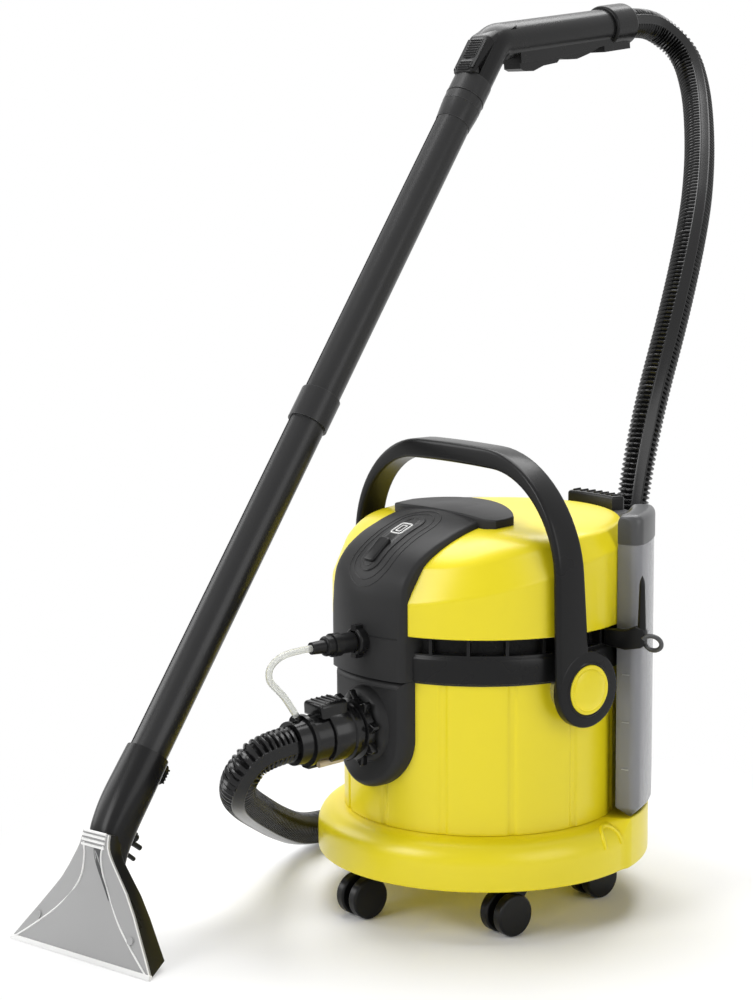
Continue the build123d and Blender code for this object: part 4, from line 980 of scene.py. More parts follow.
    def panel(self) -> None:
        """Lower lobe of the console."""
        half, middle, top, bow = 52.0, 182.6, 237.6, 148.0
        outline: list[Pair] = []
        for step in range(33):
            turn = math.pi + math.pi * step / 32
            outline.append((half * math.cos(turn), middle + half * math.sin(turn)))
        outline.extend((half, z) for z in (200.0, 220.0, top))
        outline.extend((half - 2.0 * half * step / 20, top) for step in range(1, 20))
        outline.extend((-half, z) for z in (top, 220.0, 200.0))
        place(
            Form.slab(
                "inlet_lobe", outline,
                lambda u, v, w: Vector((u, -math.sqrt(bow ** 2 - u ** 2) - w, v)), -30.0, 0.0, 7.0,
            ),
            Finish.BLACK, "machine", "inlet_panel",
        )


@dataclass
class Inlet:
    """Boss and bayonet coupling of the suction hose.

    Attributes:
        flange: Radius of the lugged flange.
        barrel: Radius of the coupling behind it.
        lugs: Pointed lugs around the flange.
    """

    flange: float = 29.5
    barrel: float = 26.0
    lugs: int = 9

    def build(self) -> None:
        """Make the boss, the coupling and the bit of spray tube below it."""
        boss = [(20.5, 4.0), (38.0, 4.0), (36.5, 9.0), (34.5, 12.5), (32.0, 14.8), (28.0, 16.2), (20.5, 16.8)]
        place(Form.lathe("inlet_boss", boss, INLET), Finish.BLACK, "machine")
        turned = [
            (20.5, 18.0), (self.flange - 1.0, 18.0), (self.flange, 19.0), (self.flange, 26.0), (self.barrel, 27.5),
            (self.barrel, 32.0), (self.flange - 1.5, 33.0), (self.flange - 1.5, 37.0), (self.barrel, 38.0),
            (self.barrel, 58.0), (self.barrel - 1.0, 59.5), (20.5, 59.5),
        ]
        place(Form.lathe("coupling_barrel", turned, INLET), Finish.HOSE, "machine", "suction_coupling")
        for number in range(self.lugs):
            turn = math.tau * (number + 0.25) / self.lugs
            cosine, sine = math.cos(turn), math.sin(turn)

            def settle(u: float, v: float, w: float, cosine: float = cosine, sine: float = sine) -> Vector:
                """Point of the coupling turned to this lug."""
                return INLET.at(u * cosine - v * sine, u * sine + v * cosine, w)

            tooth = [(27.0, -5.5), (30.0, -5.0), (36.5, -1.2), (36.5, 1.2), (30.0, 5.0), (27.0, 5.5)]
            place(Form.slab(f"coupling_lug_{number}", tooth, settle, 18.5, 25.5, 1.0, 0.6), Finish.HOSE, "machine")
        block = rounded([(-15, 20, 0), (15, 20, 0), (15, 33.5, 4), (-15, 33.5, 4)], closed=True, steps=4)
        place(Form.slab("coupling_tab", block, INLET.at, 38.5, 68.0, 2.5, 1.0), Finish.HOSE, "machine")
        ribs = ([INLET.at(across, 33.6, 43.0 + 6.0 * number) for across in (-11.0, 11.0)] for number in range(4))
        bars("coupling_tab_rib", ribs, 1.0, Finish.HOSE)
        foot = rounded([(-6, -27, 2), (6, -27, 2), (6, -19, 0), (-6, -19, 0)], closed=True, steps=3)
        place(Form.slab("coupling_foot", foot, INLET.at, 66.0, 80.0, 1.5, 1.5), Finish.HOSE, "machine")
        stub = [INLET.at(9.0, -23.5, 44.0 + 3.0 * step) for step in range(10)]
        place(Form.pipe("tube_stub", stub, 3.0, 14), Finish.STUB, "machine")


@dataclass
class Bail:
    """Carrying bail over the head.

    Attributes:
        foot: Level of its pivots.
        inner: Half width inside the legs.
        outer: Half width outside the legs.
        height: Height of its shoulders above the pivots.
        bar: Thickness of the top bar.
        arch: Rise of the top bar towards its middle.
        corner: Outer corner radius.
        lobe: Radius of the feet.
        edge: Radius of the rounded edges.
    """

    foot: float = 230.0
    inner: float = 145.0
    outer: float = 154.0
    height: float = 213.0
    bar: float = 19.0
    arch: float = 6.0
    corner: float = 105.0
    lobe: float = 36.0
    edge: float = 4.0

    def build(self) -> None:
        """Make the bow, its feet and their caps."""
        self.bow()
        for side in (-1.0, 1.0):
            self.lobe_of(side)

    def line(self, half: float, top: float, corner: float) -> list[Pair]:
        """One edge of the bow seen from the front.

        Args:
            half: Half width of the legs.
            top: Height of the shoulders.
            corner: Corner radius.

        Returns:
            Points as (x, height) from the right foot to the left.
        """
        plain = rounded([(half, 0, 0), (half, top, corner), (-half, top, corner), (-half, 0, 0)], steps=18)
        middle = len(plain) // 2
        bridge = [
            (mix(plain[middle - 1][0], plain[middle][0], step / 8), top) for step in range(1, 8)
        ]
        points = [*plain[:middle], *bridge, *plain[middle:]]
        return [(x, z + self.arch * (1 - (x / half) ** 2) * smooth(z, 0.4 * top, top)) for x, z in points]

    def bow(self) -> None:
        """Both legs and the top bar in one sweep."""
        outside = self.line(self.outer, self.height, self.corner)
        inside = self.line(self.inner, self.height - self.bar, self.corner - self.bar)
        full = self.height + self.arch
        rows = []
        for (xo, zo), (xi, zi) in zip(outside, inside):
            thick = math.hypot(xo - xi, zo - zi)
            share = (zo + zi) / 2 / full
            wide = mix(40.0, 27.0, share)
            edge = min(self.edge, 0.45 * thick)
            rows.append([
                Vector((mix(xi, xo, a / thick), mix(-36.0, -39.5, share) + b, self.foot + mix(zi, zo, a / thick)))
                for a, b in box(0, thick, 0, wide, edge)
            ])
        place(Form.grid("bail_bow", rows), Finish.DARK, "bail", "bail_handle")

    def lobe_of(self, side: float) -> None:
        """Round foot with its cap and the rim about it.

        Args:
            side: -1 for the left foot, 1 for the right.
        """
        label = "left" if side < 0 else "right"

        def ring(radius: float, reach: float) -> list[Vector]:
            """Circle about the pivot at a distance from the machine's middle."""
            return [
                Vector((side * reach, radius * math.cos(turn), self.foot + radius * math.sin(turn)))
                for turn in circle(64)
            ]

        disc = [(self.lobe * math.cos(turn), self.lobe * math.sin(turn)) for turn in circle(64)]
        place(
            Form.slab(
                f"bail_foot_{label}", disc,
                lambda u, v, w: Vector((side * w, u, self.foot + v)), self.inner, self.outer + 0.4, 2.0, 1.0,
            ),
            Finish.DARK, "bail",
        )
        rim = ring(24.6, self.outer + 0.1)
        place(Form.pipe(f"bail_rim_{label}", rim + rim[:1], 1.4, 8), Finish.DARK, "bail")
        dome = (
            (23.6, 151.0), (23.6, 154.6), (23.0, 155.6), (21.6, 156.0), (20.2, 155.6), (19.6, 155.4), (19.0, 156.0),
            (17.5, 156.8), (12.0, 157.6), (6.0, 158.0), (0.6, 158.1),
        )
        rows = [ring(radius, reach) for radius, reach in dome]
        nodes = ("pivot_caps",) if side > 0 else ()
        place(Form.grid(f"pivot_cap_{label}", rows), Finish.YELLOW, "bail", *nodes)


@dataclass
class WaterTank:
    """Clear tank at the back with its cap.

    Attributes:
        inner: Inner radius.
        outer: Outer radius.
        start: Angle of its right end.
        foot: Slope at the bottom edges.
        wall: Wall thickness.
        low: Level of the bottom.
        high: Level of the cap's foot.
        top: Level of the cap's top at its right end.
        low_top: Level of the cap's top behind the head.
    """

    inner: float = 145.0
    outer: float = 167.0
    start: float = 22.0
    foot: float = 9.5
    wall: float = 2.5
    low: float = 94.3
    high: float = 358.3
    top: float = 386.3
    low_top: float = 369.5

    def build(self) -> None:
        """Make the shell, its level marks and the cap."""
        rows = []
        for inset, level in (
            (self.foot, self.low), (0.6, self.low + 9.2), (0.0, self.low + 10.5), (0.0, self.high - 0.4),
            (self.wall, self.high - 0.4), (self.wall, self.low + self.foot),
        ):
            ends = math.degrees(inset / self.inner)
            plan = sector(self.inner + inset, self.outer - inset, self.start + ends, 9.0 - inset * 0.8)
            rows.append([Vector((x, y, level)) for x, y in plan])
        place(Form.grid("water_shell", rows), Finish.TANK, "water_tank_unit", "water_tank")
        levels = (142.0, 188.0, 234.0)
        marks = ([polar(radius, self.start - 0.1, level) for radius in (151.0, 158.0)] for level in levels)
        bars("level_mark", marks, 0.6, Finish.LIGHT_GREY, "water_tank_unit", 6)
        self.lid()
        self.grip()

    def lid(self) -> None:
        """Cap whose top steps down behind the head."""
        first, last = self.start - 0.4, 180.4 - self.start
        rows = []
        for step in range(97):
            degrees = mix(first, last, 0.5 - 0.5 * math.cos(math.pi * step / 96))
            near = math.radians(min(degrees - first, last - degrees)) * self.outer
            bend = 10.0 - math.sqrt(100.0 - max(10.0 - near, 0.0) ** 2)
            inner, outer = self.inner + 0.2, self.outer + 0.8 - bend
            top = mix(self.top, self.low_top, smooth(degrees, 48.0, 72.0)) - 0.4 * bend
            section = rounded(
                [(inner, self.high, 0.8), (inner, top, 5.0), (outer, top, 7.5), (outer, self.high, 0.8)], closed=True,
            )
            rows.append([polar(radius, degrees, level) for radius, level in section])
        place(Form.grid("tank_lid", rows), Finish.GREY, "water_tank_unit", "tank_cap")

    def grip(self) -> None:
        """Ribbed lifting grip on the low part of the cap."""
        plan = sector(147.5, 163.0, 77.4, 4.0, 12)
        place(
            Form.slab(
                "lift_grip", plan, lambda u, v, w: Vector((u, v, w)), self.low_top - 0.5, self.low_top + 14.0, 3.0,
            ),
            Finish.DARK, "water_tank_unit", "tank_grip",
        )
        ribs = (
            [polar(radius, 79.5 + 3.5 * number, self.low_top + 14.2) for radius in (150.0, 160.5)]
            for number in range(7)
        )
        bars("lift_grip_rib", ribs, 1.3, Finish.DARK, "water_tank_unit")


@dataclass
class Hook:
    """Cable hook beside the water tank.

    Attributes:
        angle: Angle around the machine.
        level: Level of its bracket.
        reach: Radius of the finger.
    """

    angle: float = 18.0
    level: float = 261.0
    reach: float = 176.0

    def at(self, radius: float, height: float, across: float = 0.0) -> Vector:
        """Point in millimetres by its distance from the axis, above the bracket and out of the hook's plane."""
        return polar(radius, self.angle, self.level + height) + polar(across, self.angle - 90.0, 0.0)

    def build(self) -> None:
        """Make the bracket, the finger and the curled keeper."""
        outline = rounded(
            [(138, 3, 0), (160, 0, 4), (180, 4, 6), (180.5, 22, 5), (171, 24, 5), (160, 19, 6), (138, 18, 0)],
            closed=True,
        )
        place(
            Form.slab("hook_bracket", outline, self.at, -4.5, 4.5, 1.6, 1.6), Finish.DARK, "machine", "cable_hook",
        )
        rows = []
        for step in range(15):
            share = step / 14
            radius = 4.4 - 2.0 * share - 2.2 * smooth(share, 0.9, 1.0)
            rows.append([
                self.at(self.reach + radius * math.cos(turn), 12.0 + 59.5 * share, radius * math.sin(turn))
                for turn in circle(16)
            ])
        place(Form.grid("hook_finger", rows), Finish.DARK, "machine")
        curl = [
            self.at(187.0 + 9.5 * math.cos(turn), 9.0 + 7.0 * math.sin(turn), 3.0 - step * 0.18)
            for step, turn in enumerate(math.radians(150 - 9 * k) for k in range(36))
        ]
        place(Form.pipe("hook_keeper", curl, 2.2, 10), Finish.GREY, "machine")


@dataclass
class Nozzle:
    """Floor nozzle: neck, fan body, window and latch.

    Attributes:
        lean: Sideways shift of the window's top.
        bulge: How far the window's top comes forward to the neck.
        glass: Thickness of the window.
        deep: Depth of the fan body at its foot.
        shallow: Depth of the fan body at its top.
        heel: Height of the body's heel above the lip.
    """

    lean: float = 2.5
    bulge: float = 13.0
    glass: float = 4.0
    deep: float = 27.0
    shallow: float = 16.0
    heel: float = 15.5

    HALF_WIDTHS = (
        (2.5, 90.0), (18.0, 78.8), (33.0, 67.5), (50.0, 55.0), (68.0, 41.5), (80.0, 32.5), (88.0, 27.0), (94.0, 22.8),
        (99.0, 19.8), (104.0, 17.6), (110.0, 16.5), (116.0, 16.0),
    )
    RIDGE = ((12.5, 105.0), (10.8, 92.5), (16.8, 71.0), (36.5, 44.0), (60.0, 23.0), (85.0, 4.0))

    def build(self) -> None:
        """Make every piece of the nozzle."""
        self.fan()
        self.neck()
        self.window()
        self.latch()

    def face(self, u: float, v: float, w: float) -> Vector:
        """Point in millimetres on the nozzle's leaning front: across it, up it and out of it."""
        return FACE.at(u + self.lean * v / 108.0, v, w + self.bulge * smooth(v, 55.0, 112.0))

    def outline(self, trim: float) -> list[Pair]:
        """Counter-clockwise outline of the front, its sides drawn in by a trim."""
        right = [(half - trim, v) for v, half in self.HALF_WIDTHS]
        return [*right, *((-u, v) for u, v in reversed(right))]

    def half(self, v: float) -> float:
        """Half width of the front at a height.

        Args:
            v: Distance up the front.

        Returns:
            The half width.
        """
        for (low, wide), (high, narrow) in zip(self.HALF_WIDTHS, self.HALF_WIDTHS[1:]):
            if v <= high:
                return mix(wide, narrow, (v - low) / (high - low))
        return self.HALF_WIDTHS[-1][1]

    def fan(self) -> None:
        """Black body behind the window, with its heel off the floor."""

        def settle(u: float, v: float, w: float) -> Vector:
            """Point of the body, whose depth shrinks upward and whose heel rises backward."""
            back = (-w - self.glass) / self.deep
            level = max(v, 2.5 + self.heel * back)
            depth = mix(self.deep, self.shallow, min(level / 95.0, 1.0))
            return self.face(u * self.half(level) / self.half(v), level, -self.glass - back * depth)

        shell = Form.slab("nozzle_fan", self.outline(0.6), settle, -self.glass - self.deep, -self.glass, 0.4, 3.0)
        place(shell, Finish.DARK, "machine", "nozzle_body")

    def neck(self) -> None:
        """Round neck flowing into the top of the fan."""
        places = flowing([(0, 0.3), (0, -25), (0, -50), (1, -70), (3, -84), (8, -96), (15, -106)], 5)
        widths = flowing([(21, 21), (21, 21), (20.5, 21), (19, 20.5), (17.5, 19.5), (16, 16), (15, 11)], 5)
        rows = []
        for index, ((y, z), (wide, deep)) in enumerate(zip(places, widths)):
            before, after = places[max(index - 1, 0)], places[min(index + 1, len(places) - 1)]
            ahead = (NECK.at(0, *after) - NECK.at(0, *before)).normalized()
            across = Vector(NECK.x)
            out = ahead.cross(across)
            power = 2.0 / mix(2.0, 3.2, index / (len(places) - 1))
            centre = NECK.at(self.lean * smooth(index, 10, len(places) - 1), y, z)
            row = []
            for turn in circle(48):
                cosine, sine = math.cos(turn), math.sin(turn)
                row.append(
                    centre + across * (math.copysign(abs(cosine) ** power, cosine) * wide)
                    + out * (math.copysign(abs(sine) ** power, sine) * deep)
                )
            rows.append(row)
        place(Form.grid("nozzle_neck", rows), Finish.DARK, "machine")
        rail = [NECK.at(6.0, 20.6, -2.0 - 4.0 * step) for step in range(13)]
        place(Form.pipe("neck_rail", rail, 1.1, 8), Finish.DARK, "machine")
        for number, (first, second, thick) in enumerate((
            ((20.0, -77.0), (45.0, -76.0), 2.6),
            ((22.0, -69.0), (33.0, -68.0), 2.2),
            ((28.0, -88.0), (44.0, -88.0), 2.2),
        )):
            prong = [NECK.at(0.0, *first), NECK.at(0.0, *second)]
            place(Form.pipe(f"neck_prong_{number}", prong, thick, 10), Finish.DARK, "machine")

    def window(self) -> None:
        """Clear front with its lip, white lines of painted highlight along its ridges and rims, and a grey sheet of
        painted shade.
        """
        place(
            Form.slab("nozzle_glass", self.outline(0.0), self.face, -self.glass, 0.0, 0.8, 0.2),
            Finish.WINDOW, "machine", "nozzle_window",
        )
        # Painted highlight: white lines where the clear window's moulded ridges and side edges catch the light.
        for side, label in ((-1.0, "left"), (1.0, "right")):
            ridge_glint_line = [self.face(side * u, v, 0.3) for u, v in flowing(self.RIDGE, 6)]
            place(Form.pipe(f"window_ridge_{label}", ridge_glint_line, 0.9, 8), Finish.WHITE, "machine")
            rim = [self.face(side * half, v, -0.8) for v, half in self.HALF_WIDTHS]
            place(Form.pipe(f"window_rim_{label}", rim, 0.7, 8), Finish.WHITE, "machine")
        levels = (103.0, 107.3, 111.6, 115.5)
        bars("window_bar", ([self.face(u, level, 0.5) for u in (-14.5, 14.5)] for level in levels), 1.3, Finish.WHITE)
        # Painted shade: a grey sheet laid on the window where the channel's wall inside lies in shadow.
        channel_painted_shade = flowing([(2.5, 104), (4.5, 92), (12.5, 75), (29, 51)], 6)
        channel_painted_shade.extend(flowing([(30, 51), (17.5, 75), (12, 92), (12.5, 104)], 6))
        place(
            Form.slab("window_shade", channel_painted_shade, lambda u, v, w: self.face(u - 2.0, v, w), -0.4, 0.2, 0.0),
            Finish.GREY, "machine",
        )
        lip = box(-91, 91, -1.2, 3.6, 1, 3)
        place(
            Form.slab("nozzle_edge", lip, lambda u, v, w: FACE.at(u, v + 1.3, w), -3.0, 1.2, 0.6, 0.6),
            Finish.WHITE, "machine", "nozzle_lip",
        )

    def latch(self) -> None:
        """Ribbed latch at the back of the neck."""
        side = rounded(
            [(-19, 20.6, 0), (1, 20.6, 0), (1, 26, 2), (-3, 29.2, 2), (-15, 29.2, 3), (-19, 25, 2)], closed=True,
        )
        place(
            Form.slab("latch_pad", side, lambda u, v, w: NECK.at(w, v, u), -7.0, 7.0, 1.0, 1.0),
            Finish.DARK, "nozzle_catch", "nozzle_latch",
        )
        ribs = ([NECK.at(across, 29.4, -2.0 - 3.2 * number) for across in (-6.5, 6.5)] for number in range(5))
        bars("latch_rib", ribs, 0.9, Finish.DARK, "nozzle_catch")


@dataclass
class Handle:
    """Elbow, sliders, seam and collar of the wand's handle.

    Attributes:
        broad: Half width of the elbow's outer shell.
        pad: Half width of the sliders.
        seam: Distance up the wand to the handle's seam.
        ring: Radius of that seam.
        sleeve: Length of the tube's collar below the seam.
    """

    broad: float = 16.0
    pad: float = 8.5
    seam: float = 779.4
    ring: float = 20.5
    sleeve: float = 34.0

    def build(self) -> None:
        """Make the elbow's shell, the ribbed sliders, the seam and the tube's collar."""
        outline = rounded(
            [
                (-58, -25.5, 3), (-22, 9.5, 7), (2, 16.6, 6), (30, 17.8, 2), (30, 0, 2), (6, -8, 6), (-23, -36, 3),
                (-38, -42.5, 3),
            ],
            closed=True,
        )[::-1]
        place(Form.slab("elbow_shell", outline, GRIP.at, -self.broad, self.broad, 9.0, 9.0), Finish.DARK, "machine")
        self.slider("slider_pad", 4.0, 27.0, 7, "air_slide_cap", "air_slider")
        self.slider("elbow_pad", 34.0, 13.0, 3, "machine")
        ring = [NECK.at(self.ring * math.cos(turn), self.ring * math.sin(turn), self.seam) for turn in circle(48)]
        place(Form.pipe("handle_seam", ring + ring[:1], 0.8, 6), Finish.DARK, "machine")
        low = self.seam - self.sleeve
        collar = [(18.0, low), (18.9, low), (self.ring, low + 18), (self.ring, self.seam), (18.0, self.seam)]
        place(Form.lathe("tube_collar", collar, NECK), Finish.WAND, "machine")

    def slider(self, name: str, start: float, length: float, ribs: int, body: str, *nodes: str) -> None:
        """One ribbed pad on the elbow's outer face.

        Args:
            name: Piece name.
            start: Distance down the face from the elbow's corner.
            length: Length along the face.
            ribs: Raised ribs.
            body: Body it moves with.
            nodes: CAD nodes it stands for.
        """
        corner, down, out = (-22.0, 9.5), (-0.719, -0.695), (-0.695, 0.719)

        def settle(u: float, v: float, w: float) -> Vector:
            """Point of the elbow's outer face: down it, across it and out of it."""
            return GRIP.at(corner[0] + down[0] * u + out[0] * w, corner[1] + down[1] * u + out[1] * w, v)

        plan = box(start, start + length, -self.pad, self.pad, 3)
        place(Form.slab(name, plan, settle, -6.0, 0.8, 0.6), Finish.DARK, body, *nodes)
        places = [start + length * (number + 1) / (ribs + 1) for number in range(ribs)]
        lines = ([settle(along, across, 0.8) for across in (-self.pad + 1.5, self.pad - 1.5)] for along in places)
        bars(f"{name}_rib", lines, 0.9, Finish.DARK, body)


@dataclass
class Cords:
    """Suction hose and clear spray tube.

    Attributes:
        hose_diameter: Diameter over the ribs.
        hose_root: Diameter between the ribs.
        rib_pitch: Distance from rib to rib.
        tube_diameter: Diameter of the spray tube.
        strip_turn: Turn of the hose's flat strip from its lower to its upper run, in radians.
        strip_half: Half width of the strip, in radians.
        piping: Place of the strip's piping, in radians from its middle.
        piping_half: Half width of the piping, in radians.
        piping_rise: Height of the piping.
    """

    hose_diameter: float = 34.0
    hose_root: float = 27.5
    rib_pitch: float = 5.2
    tube_diameter: float = 6.5
    strip_turn: float = -0.95
    strip_half: float = 0.42
    piping: float = 0.32
    piping_half: float = 0.07
    piping_rise: float = 0.5

    HOSE_ROUTE = (
        (0, -228.87, 185.03), (0, -262.82, 183.25), (-8, -279, 163), (-29, -270, 140), (-60, -240, 118),
        (-97, -200, 94), (-144, -145, 62), (-192, -85, 32), (-222, -30, 18), (-240, 25, 17.5),
        (-240, 85, 18), (-212, 140, 20), (-168, 184, 30), (-124, 216, 60), (-90, 234, 112),
        (-66, 240, 185), (-46, 236, 275), (-38, 240, 365), (-48, 272, 455), (-72, 334, 556),
        (-108, 398, 650), (-152, 450, 706), (-198, 496, 756), (-238, 530, 800), (-268, 542, 842),
        (-286, 516, 870), (-282.4, 480.5, 876.0), (-274.75, 447.67, 871.87),
    )
    TUBE_ROUTE = (
        (4, -207, 272), (4, -226, 272), (4, -244, 268.5), (3, -254, 259), (1.5, -253, 247.5),
        (0.5, -243, 238), (0, -232.6, 227.3), (0, -221.98, 210.35),
    )

    def build(self) -> None:
        """Make both cords."""
        self.hose()
        self.tube()

    @staticmethod
    def spline(name: str, route: Sequence[Triple], resolution: int) -> list[Vector]:
        """Points of a smooth spline through a route.

        Args:
            name: Curve name.
            route: Control points in millimetres.
            resolution: Steps for each control point.

        Returns:
            Points in millimetres.
        """
        curve = bpy.data.curves.new(name, "CURVE")
        curve.dimensions = "3D"
        line = curve.splines.new("NURBS")
        line.points.add(len(route) - 1)
        for point, (x, y, z) in zip(line.points, route):
            point.co = (x * MM, y * MM, z * MM, 1.0)
        line.order_u = 3
        line.use_endpoint_u = True
        line.resolution_u = resolution
        holder = bpy.data.objects.new(name, curve)
        bpy.context.scene.collection.objects.link(holder)
        bpy.context.view_layer.update()
        traced = bpy.data.meshes.new_from_object(holder.evaluated_get(bpy.context.evaluated_depsgraph_get()))
        points = [vertex.co.copy() / MM for vertex in traced.vertices]
        bpy.data.objects.remove(holder)
        bpy.data.curves.remove(curve)
        bpy.data.meshes.remove(traced)
        return points

    @staticmethod
    def length(points: Sequence[Vector]) -> float:
        """Length of a line of points in millimetres."""
        return sum((b - a).length for a, b in zip(points, points[1:]))

    @staticmethod
    def walk(points: Sequence[Vector], step: float) -> list[tuple[Vector, Vector]]:
        """Even stations along a line.

        Args:
            points: Line in millimetres.
            step: Distance between stations.

        Returns:
            Pairs of place and direction.
        """
        total = Cords.length(points)
        count = round(total / step)
        stations = []
        index, passed = 0, 0.0
        for number in range(count + 1):
            target = total * number / count
            while index < len(points) - 2 and passed + (points[index + 1] - points[index]).length < target:
                passed += (points[index + 1] - points[index]).length
                index += 1
            piece = points[index + 1] - points[index]
            share = min((target - passed) / piece.length, 1.0)
            ahead = points[min(index + 2, len(points) - 1)] - points[max(index - 1, 0)]
            stations.append((points[index] + piece * share, ahead.normalized()))
        return stations

    def hose(self) -> None:
        """Ribbed hose with its flat piped strip."""
        points = self.spline("hose_line", self.HOSE_ROUTE, 16)
        waves = (0.0, 0.35, 0.8, 1.0, 1.0, 0.8, 0.35)
        stations = self.walk(points, self.rib_pitch / len(waves))
        turns = [turn for turn in circle(28) if self.strip_half < turn < math.tau - self.strip_half]
        close = [self.piping + 0.04 * step for step in range(-2, 3)]
        turns.extend([0.0, *close, *(math.tau - turn for turn in close)])
        turns.sort()
        side = Vector((1.0, 0.0, 0.0))
        rows = []
        for number, (point, ahead) in enumerate(stations):
            side = (side - ahead * side.dot(ahead)).normalized()
            other = ahead.cross(side)
            rib = mix(self.hose_root, self.hose_diameter, waves[number % len(waves)]) / 2
            row = []
            for turn in turns:
                away = min(turn, math.tau - turn)
                raised = 1.0 - min(abs(away - self.piping) / self.piping_half, 1.0)
                flat = self.hose_diameter / 2 - self.piping_rise * (1.0 - raised)
                radius = mix(flat, rib, smooth(away, self.strip_half - 0.05, self.strip_half - 0.01))
                angle = turn + self.strip_turn * smooth(number / len(stations), 0.3, 0.52)
                row.append(point + (side * math.cos(angle) + other * math.sin(angle)) * radius)
            rows.append(row)
        piece = place(Form.grid("ribbed_hose", rows), Finish.HOSE, "machine", "suction_hose")

    def tube(self) -> None:
        """Clear spray tube."""
        points = self.spline("tube_line", self.TUBE_ROUTE, 16)
        line = [point for point, _ in self.walk(points, 1.6)]
        piece = place(Form.pipe("spray_line", line, self.tube_diameter / 2, 16), Finish.TUBE, "machine", "spray_tube")


@dataclass
class Studio:
    """Floor, light and camera.

    Attributes:
        place: Camera place in metres.
        heading: Direction looked in, in degrees from +x.
        dip: Angle looked down.
        roll: Turn about the line of sight.
        focal: Focal length in pixels of the photograph's upright side.
        side: Length of that side in pixels.
        sensor: Height of the camera's sensor in millimetres.
        ambient: Strength of the surroundings on the object.
        floor_half: Half the floor's side in millimetres.
        fade: Distances in metres from the machine's axis over which the floor turns white.
    """

    place: Triple = (1.63554, -1.38731, 0.70211)
    heading: float = math.degrees(2.48513)
    dip: float = math.degrees(0.14441)
    roll: float = math.degrees(-0.00617)
    focal: float = 2238.7
    side: float = 1000.0
    sensor: float = 36.0
    ambient: float = 0.14
    floor_half: float = 6000.0
    fade: Pair = (0.22, 0.55)

    def build(self) -> None:
        """Set the stage."""
        bpy.context.scene.view_settings.view_transform = "Standard"
        self.world()
        self.floor()
        self.lamps()
        self.camera()

    def world(self) -> None:
        """White surroundings that light softly and read as white to the camera."""
        world = bpy.data.worlds.new("studio_world")
        world.use_nodes = True
        bpy.context.scene.world = world
        nodes, links = world.node_tree.nodes, world.node_tree.links
        back = nodes["Background"]
        back.inputs["Color"].default_value = (1.0, 1.0, 1.0, 1.0)
        both = nodes.new("ShaderNodeMath")
        both.operation = "MAXIMUM"
        both.inputs[1].default_value = self.ambient
        links.new(self.looked_at(world.node_tree), both.inputs[0])
        links.new(both.outputs["Value"], back.inputs["Strength"])

    @staticmethod
    def looked_at(tree: bpy.types.NodeTree) -> bpy.types.NodeSocket:
        """Switch for rays by which the background is seen.

        Args:
            tree: Node tree of the background.

        Returns:
            Socket that is 1 for camera, glossy and transmission rays.
        """
        path = tree.nodes.new("ShaderNodeLightPath")
        seen = path.outputs["Is Camera Ray"]
        for ray in ("Is Glossy Ray", "Is Transmission Ray"):
            either = tree.nodes.new("ShaderNodeMath")
            either.operation = "MAXIMUM"
            tree.links.new(seen, either.inputs[0])
            tree.links.new(path.outputs[ray], either.inputs[1])
            seen = either.outputs["Value"]
        return seen

    def floor(self) -> None:
        """Pale floor that keeps the shadow."""
        ends = ((-1, -1), (1, -1), (1, 1), (-1, 1))
        corners = [Vector((x * self.floor_half, y * self.floor_half, -0.3)) for x, y in ends]
        sheet = Form.mesh("studio_floor", corners, [(0, 1, 2, 3)])
        made = bpy.data.materials.new("studio_floor")
        made.use_nodes = True
        nodes, links = made.node_tree.nodes, made.node_tree.links
        shader = nodes["Principled BSDF"]
        shader.inputs["Base Color"].default_value = (0.95, 0.95, 0.95, 1.0)
        shader.inputs["Roughness"].default_value = 0.9
        shader.inputs["Specular IOR Level"].default_value = 0.1
        glow = nodes.new("ShaderNodeEmission")
        place_at = nodes.new("ShaderNodeNewGeometry")
        away = nodes.new("ShaderNodeVectorMath")
        away.operation = "LENGTH"
        fade = nodes.new("ShaderNodeMapRange")
        fade.interpolation_type = "SMOOTHSTEP"
        fade.inputs["From Min"].default_value, fade.inputs["From Max"].default_value = self.fade
        seen = nodes.new("ShaderNodeMath")
        seen.operation = "MULTIPLY"
        blend = nodes.new("ShaderNodeMixShader")
        links.new(place_at.outputs["Position"], away.inputs[0])
        links.new(away.outputs["Value"], fade.inputs["Value"])
        links.new(fade.outputs["Result"], seen.inputs[0])
        links.new(self.looked_at(made.node_tree), seen.inputs[1])
        links.new(seen.outputs["Value"], blend.inputs["Fac"])
        links.new(shader.outputs["BSDF"], blend.inputs[1])
        links.new(glow.outputs["Emission"], blend.inputs[2])
        links.new(blend.outputs["Shader"], nodes["Material Output"].inputs["Surface"])
        sheet.data.materials.append(made)

    def lamp(self, name: str, spot: Triple, aim: Triple, size: float, power: float) -> None:
        """One soft square lamp.

        Args:
            name: Lamp name.
            spot: Place in metres.
            aim: Point it faces.
            size: Side in metres.
            power: Strength in watts.
        """
        light = bpy.data.lights.new(name, "AREA")
        light.size = size
        light.energy = power
        holder = bpy.data.objects.new(name, light)
        holder.location = spot
        holder.rotation_euler = (Vector(aim) - Vector(spot)).to_track_quat("-Z", "Y").to_euler()
        bpy.context.scene.collection.objects.link(holder)

    def lamps(self) -> None:
        """Soft key, left, fill and top light."""
        self.lamp("key", (-0.3, -2.7, 1.7), (0.0, 0.0, 0.35), 1.3, 38.0)
        self.lamp("left", (-2.4, -1.5, 1.3), (0.0, 0.0, 0.3), 1.5, 26.0)
        self.lamp("fill", (2.6, 0.3, 1.3), (0.0, 0.0, 0.3), 1.8, 22.0)
        self.lamp("top", (-0.8, 0.65, 2.7), (0.0, 0.0, 0.1), 2.4, 100.0)

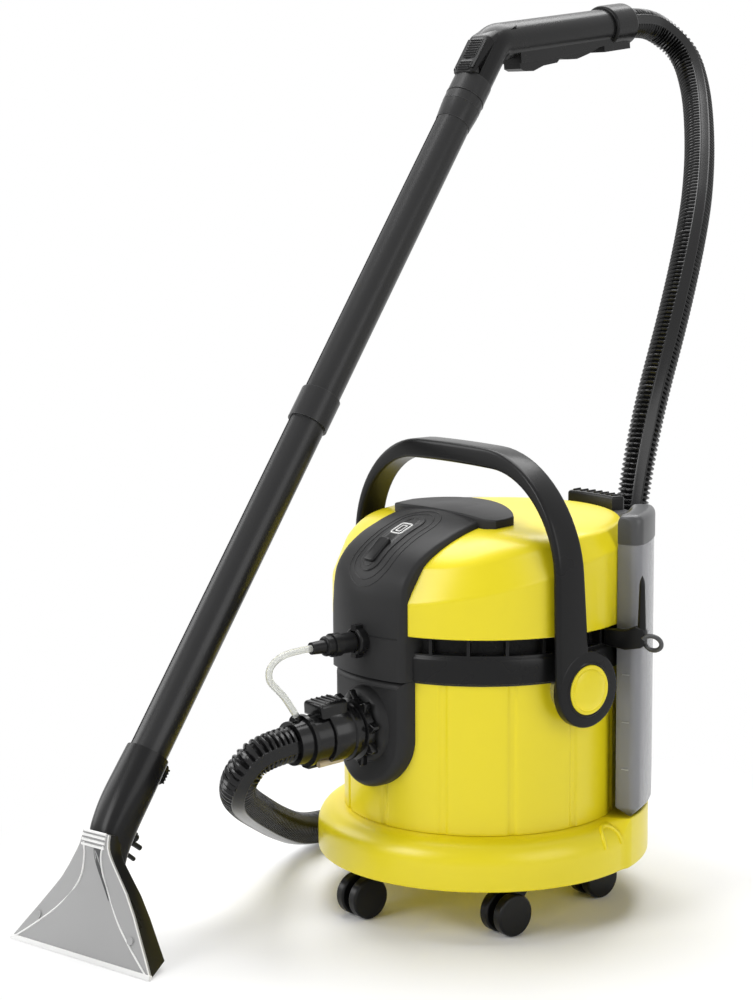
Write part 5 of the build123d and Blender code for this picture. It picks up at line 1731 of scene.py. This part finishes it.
    def camera(self) -> None:
        """Camera at the photograph's viewing angle."""
        data = bpy.data.cameras.new("camera")
        data.sensor_fit = "VERTICAL"
        data.sensor_height = self.sensor
        data.lens = self.focal * self.sensor / self.side
        data.clip_end = 60.0
        holder = bpy.data.objects.new("camera", data)
        bpy.context.scene.collection.objects.link(holder)
        holder.location = self.place
        heading, dip = math.radians(self.heading), math.radians(self.dip)
        ahead = Vector((math.cos(dip) * math.cos(heading), math.cos(dip) * math.sin(heading), -math.sin(dip)))
        holder.rotation_euler = ahead.to_track_quat("-Z", "Y").to_euler()
        holder.rotation_euler.rotate_axis("Z", math.radians(self.roll))
        bpy.context.scene.camera = holder


class Dresser:
    """Gives the remaining CAD nodes their finishes."""

    RULES: tuple[tuple[Finish, tuple[str, ...]], ...] = (
        (Finish.YELLOW, ("base_chassis", "waste_tank", "head_cover", "pivot_caps")),
        (Finish.TANK, ("water_tank",)),
        (Finish.WINDOW, ("nozzle_window", "window_screws")),
        (Finish.TUBE, ("spray_tube",)),
        (Finish.GREY, ("tank_cap", "cable_hook")),
        (Finish.LIGHT_GREY, ("tank_valve", "float_cage", "fan_housing")),
        (Finish.WHITE, ("nozzle_lip", "float_ball", "fan_wheel")),
        (Finish.STEEL, ("motor_bearings", "pivot_pins")),
        (Finish.MOTOR, ("motor_body",)),
        (Finish.SEAL, ("tank_seal",)),
        (Finish.HOSE, ("suction_hose", "machine_cuff", "suction_coupling")),
    )

    def finish_of(self, node: str) -> Finish:
        """Finish of a CAD node.

        Args:
            node: Node name.

        Returns:
            Its finish.
        """
        for finish, names in self.RULES:
            if node in names:
                return finish
        if node.startswith("castor"):
            return Finish.WHEEL
        if node.startswith(("lower_tube", "upper_tube")):
            return Finish.WAND
        satin = ("console", "switch", "inlet_panel", "head")
        return Finish.BLACK if node.startswith(satin) else Finish.DARK

    def dress(self) -> None:
        """Finish every CAD node."""
        for node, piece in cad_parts.items():
            self.finish_of(node).coat(piece)


def main() -> None:
    """Build the scene in order."""
    logging.basicConfig(level=logging.INFO)
    for part in (
        Dresser().dress, Tub().build, Head().build, Inlet().build, Bail().build, WaterTank().build, Hook().build,
        Nozzle().build, Handle().build, Cords().build, Studio().build,
    ):
        part()
        LOG.info("made %s", part.__qualname__)


if __name__ == "__main__":
    main()
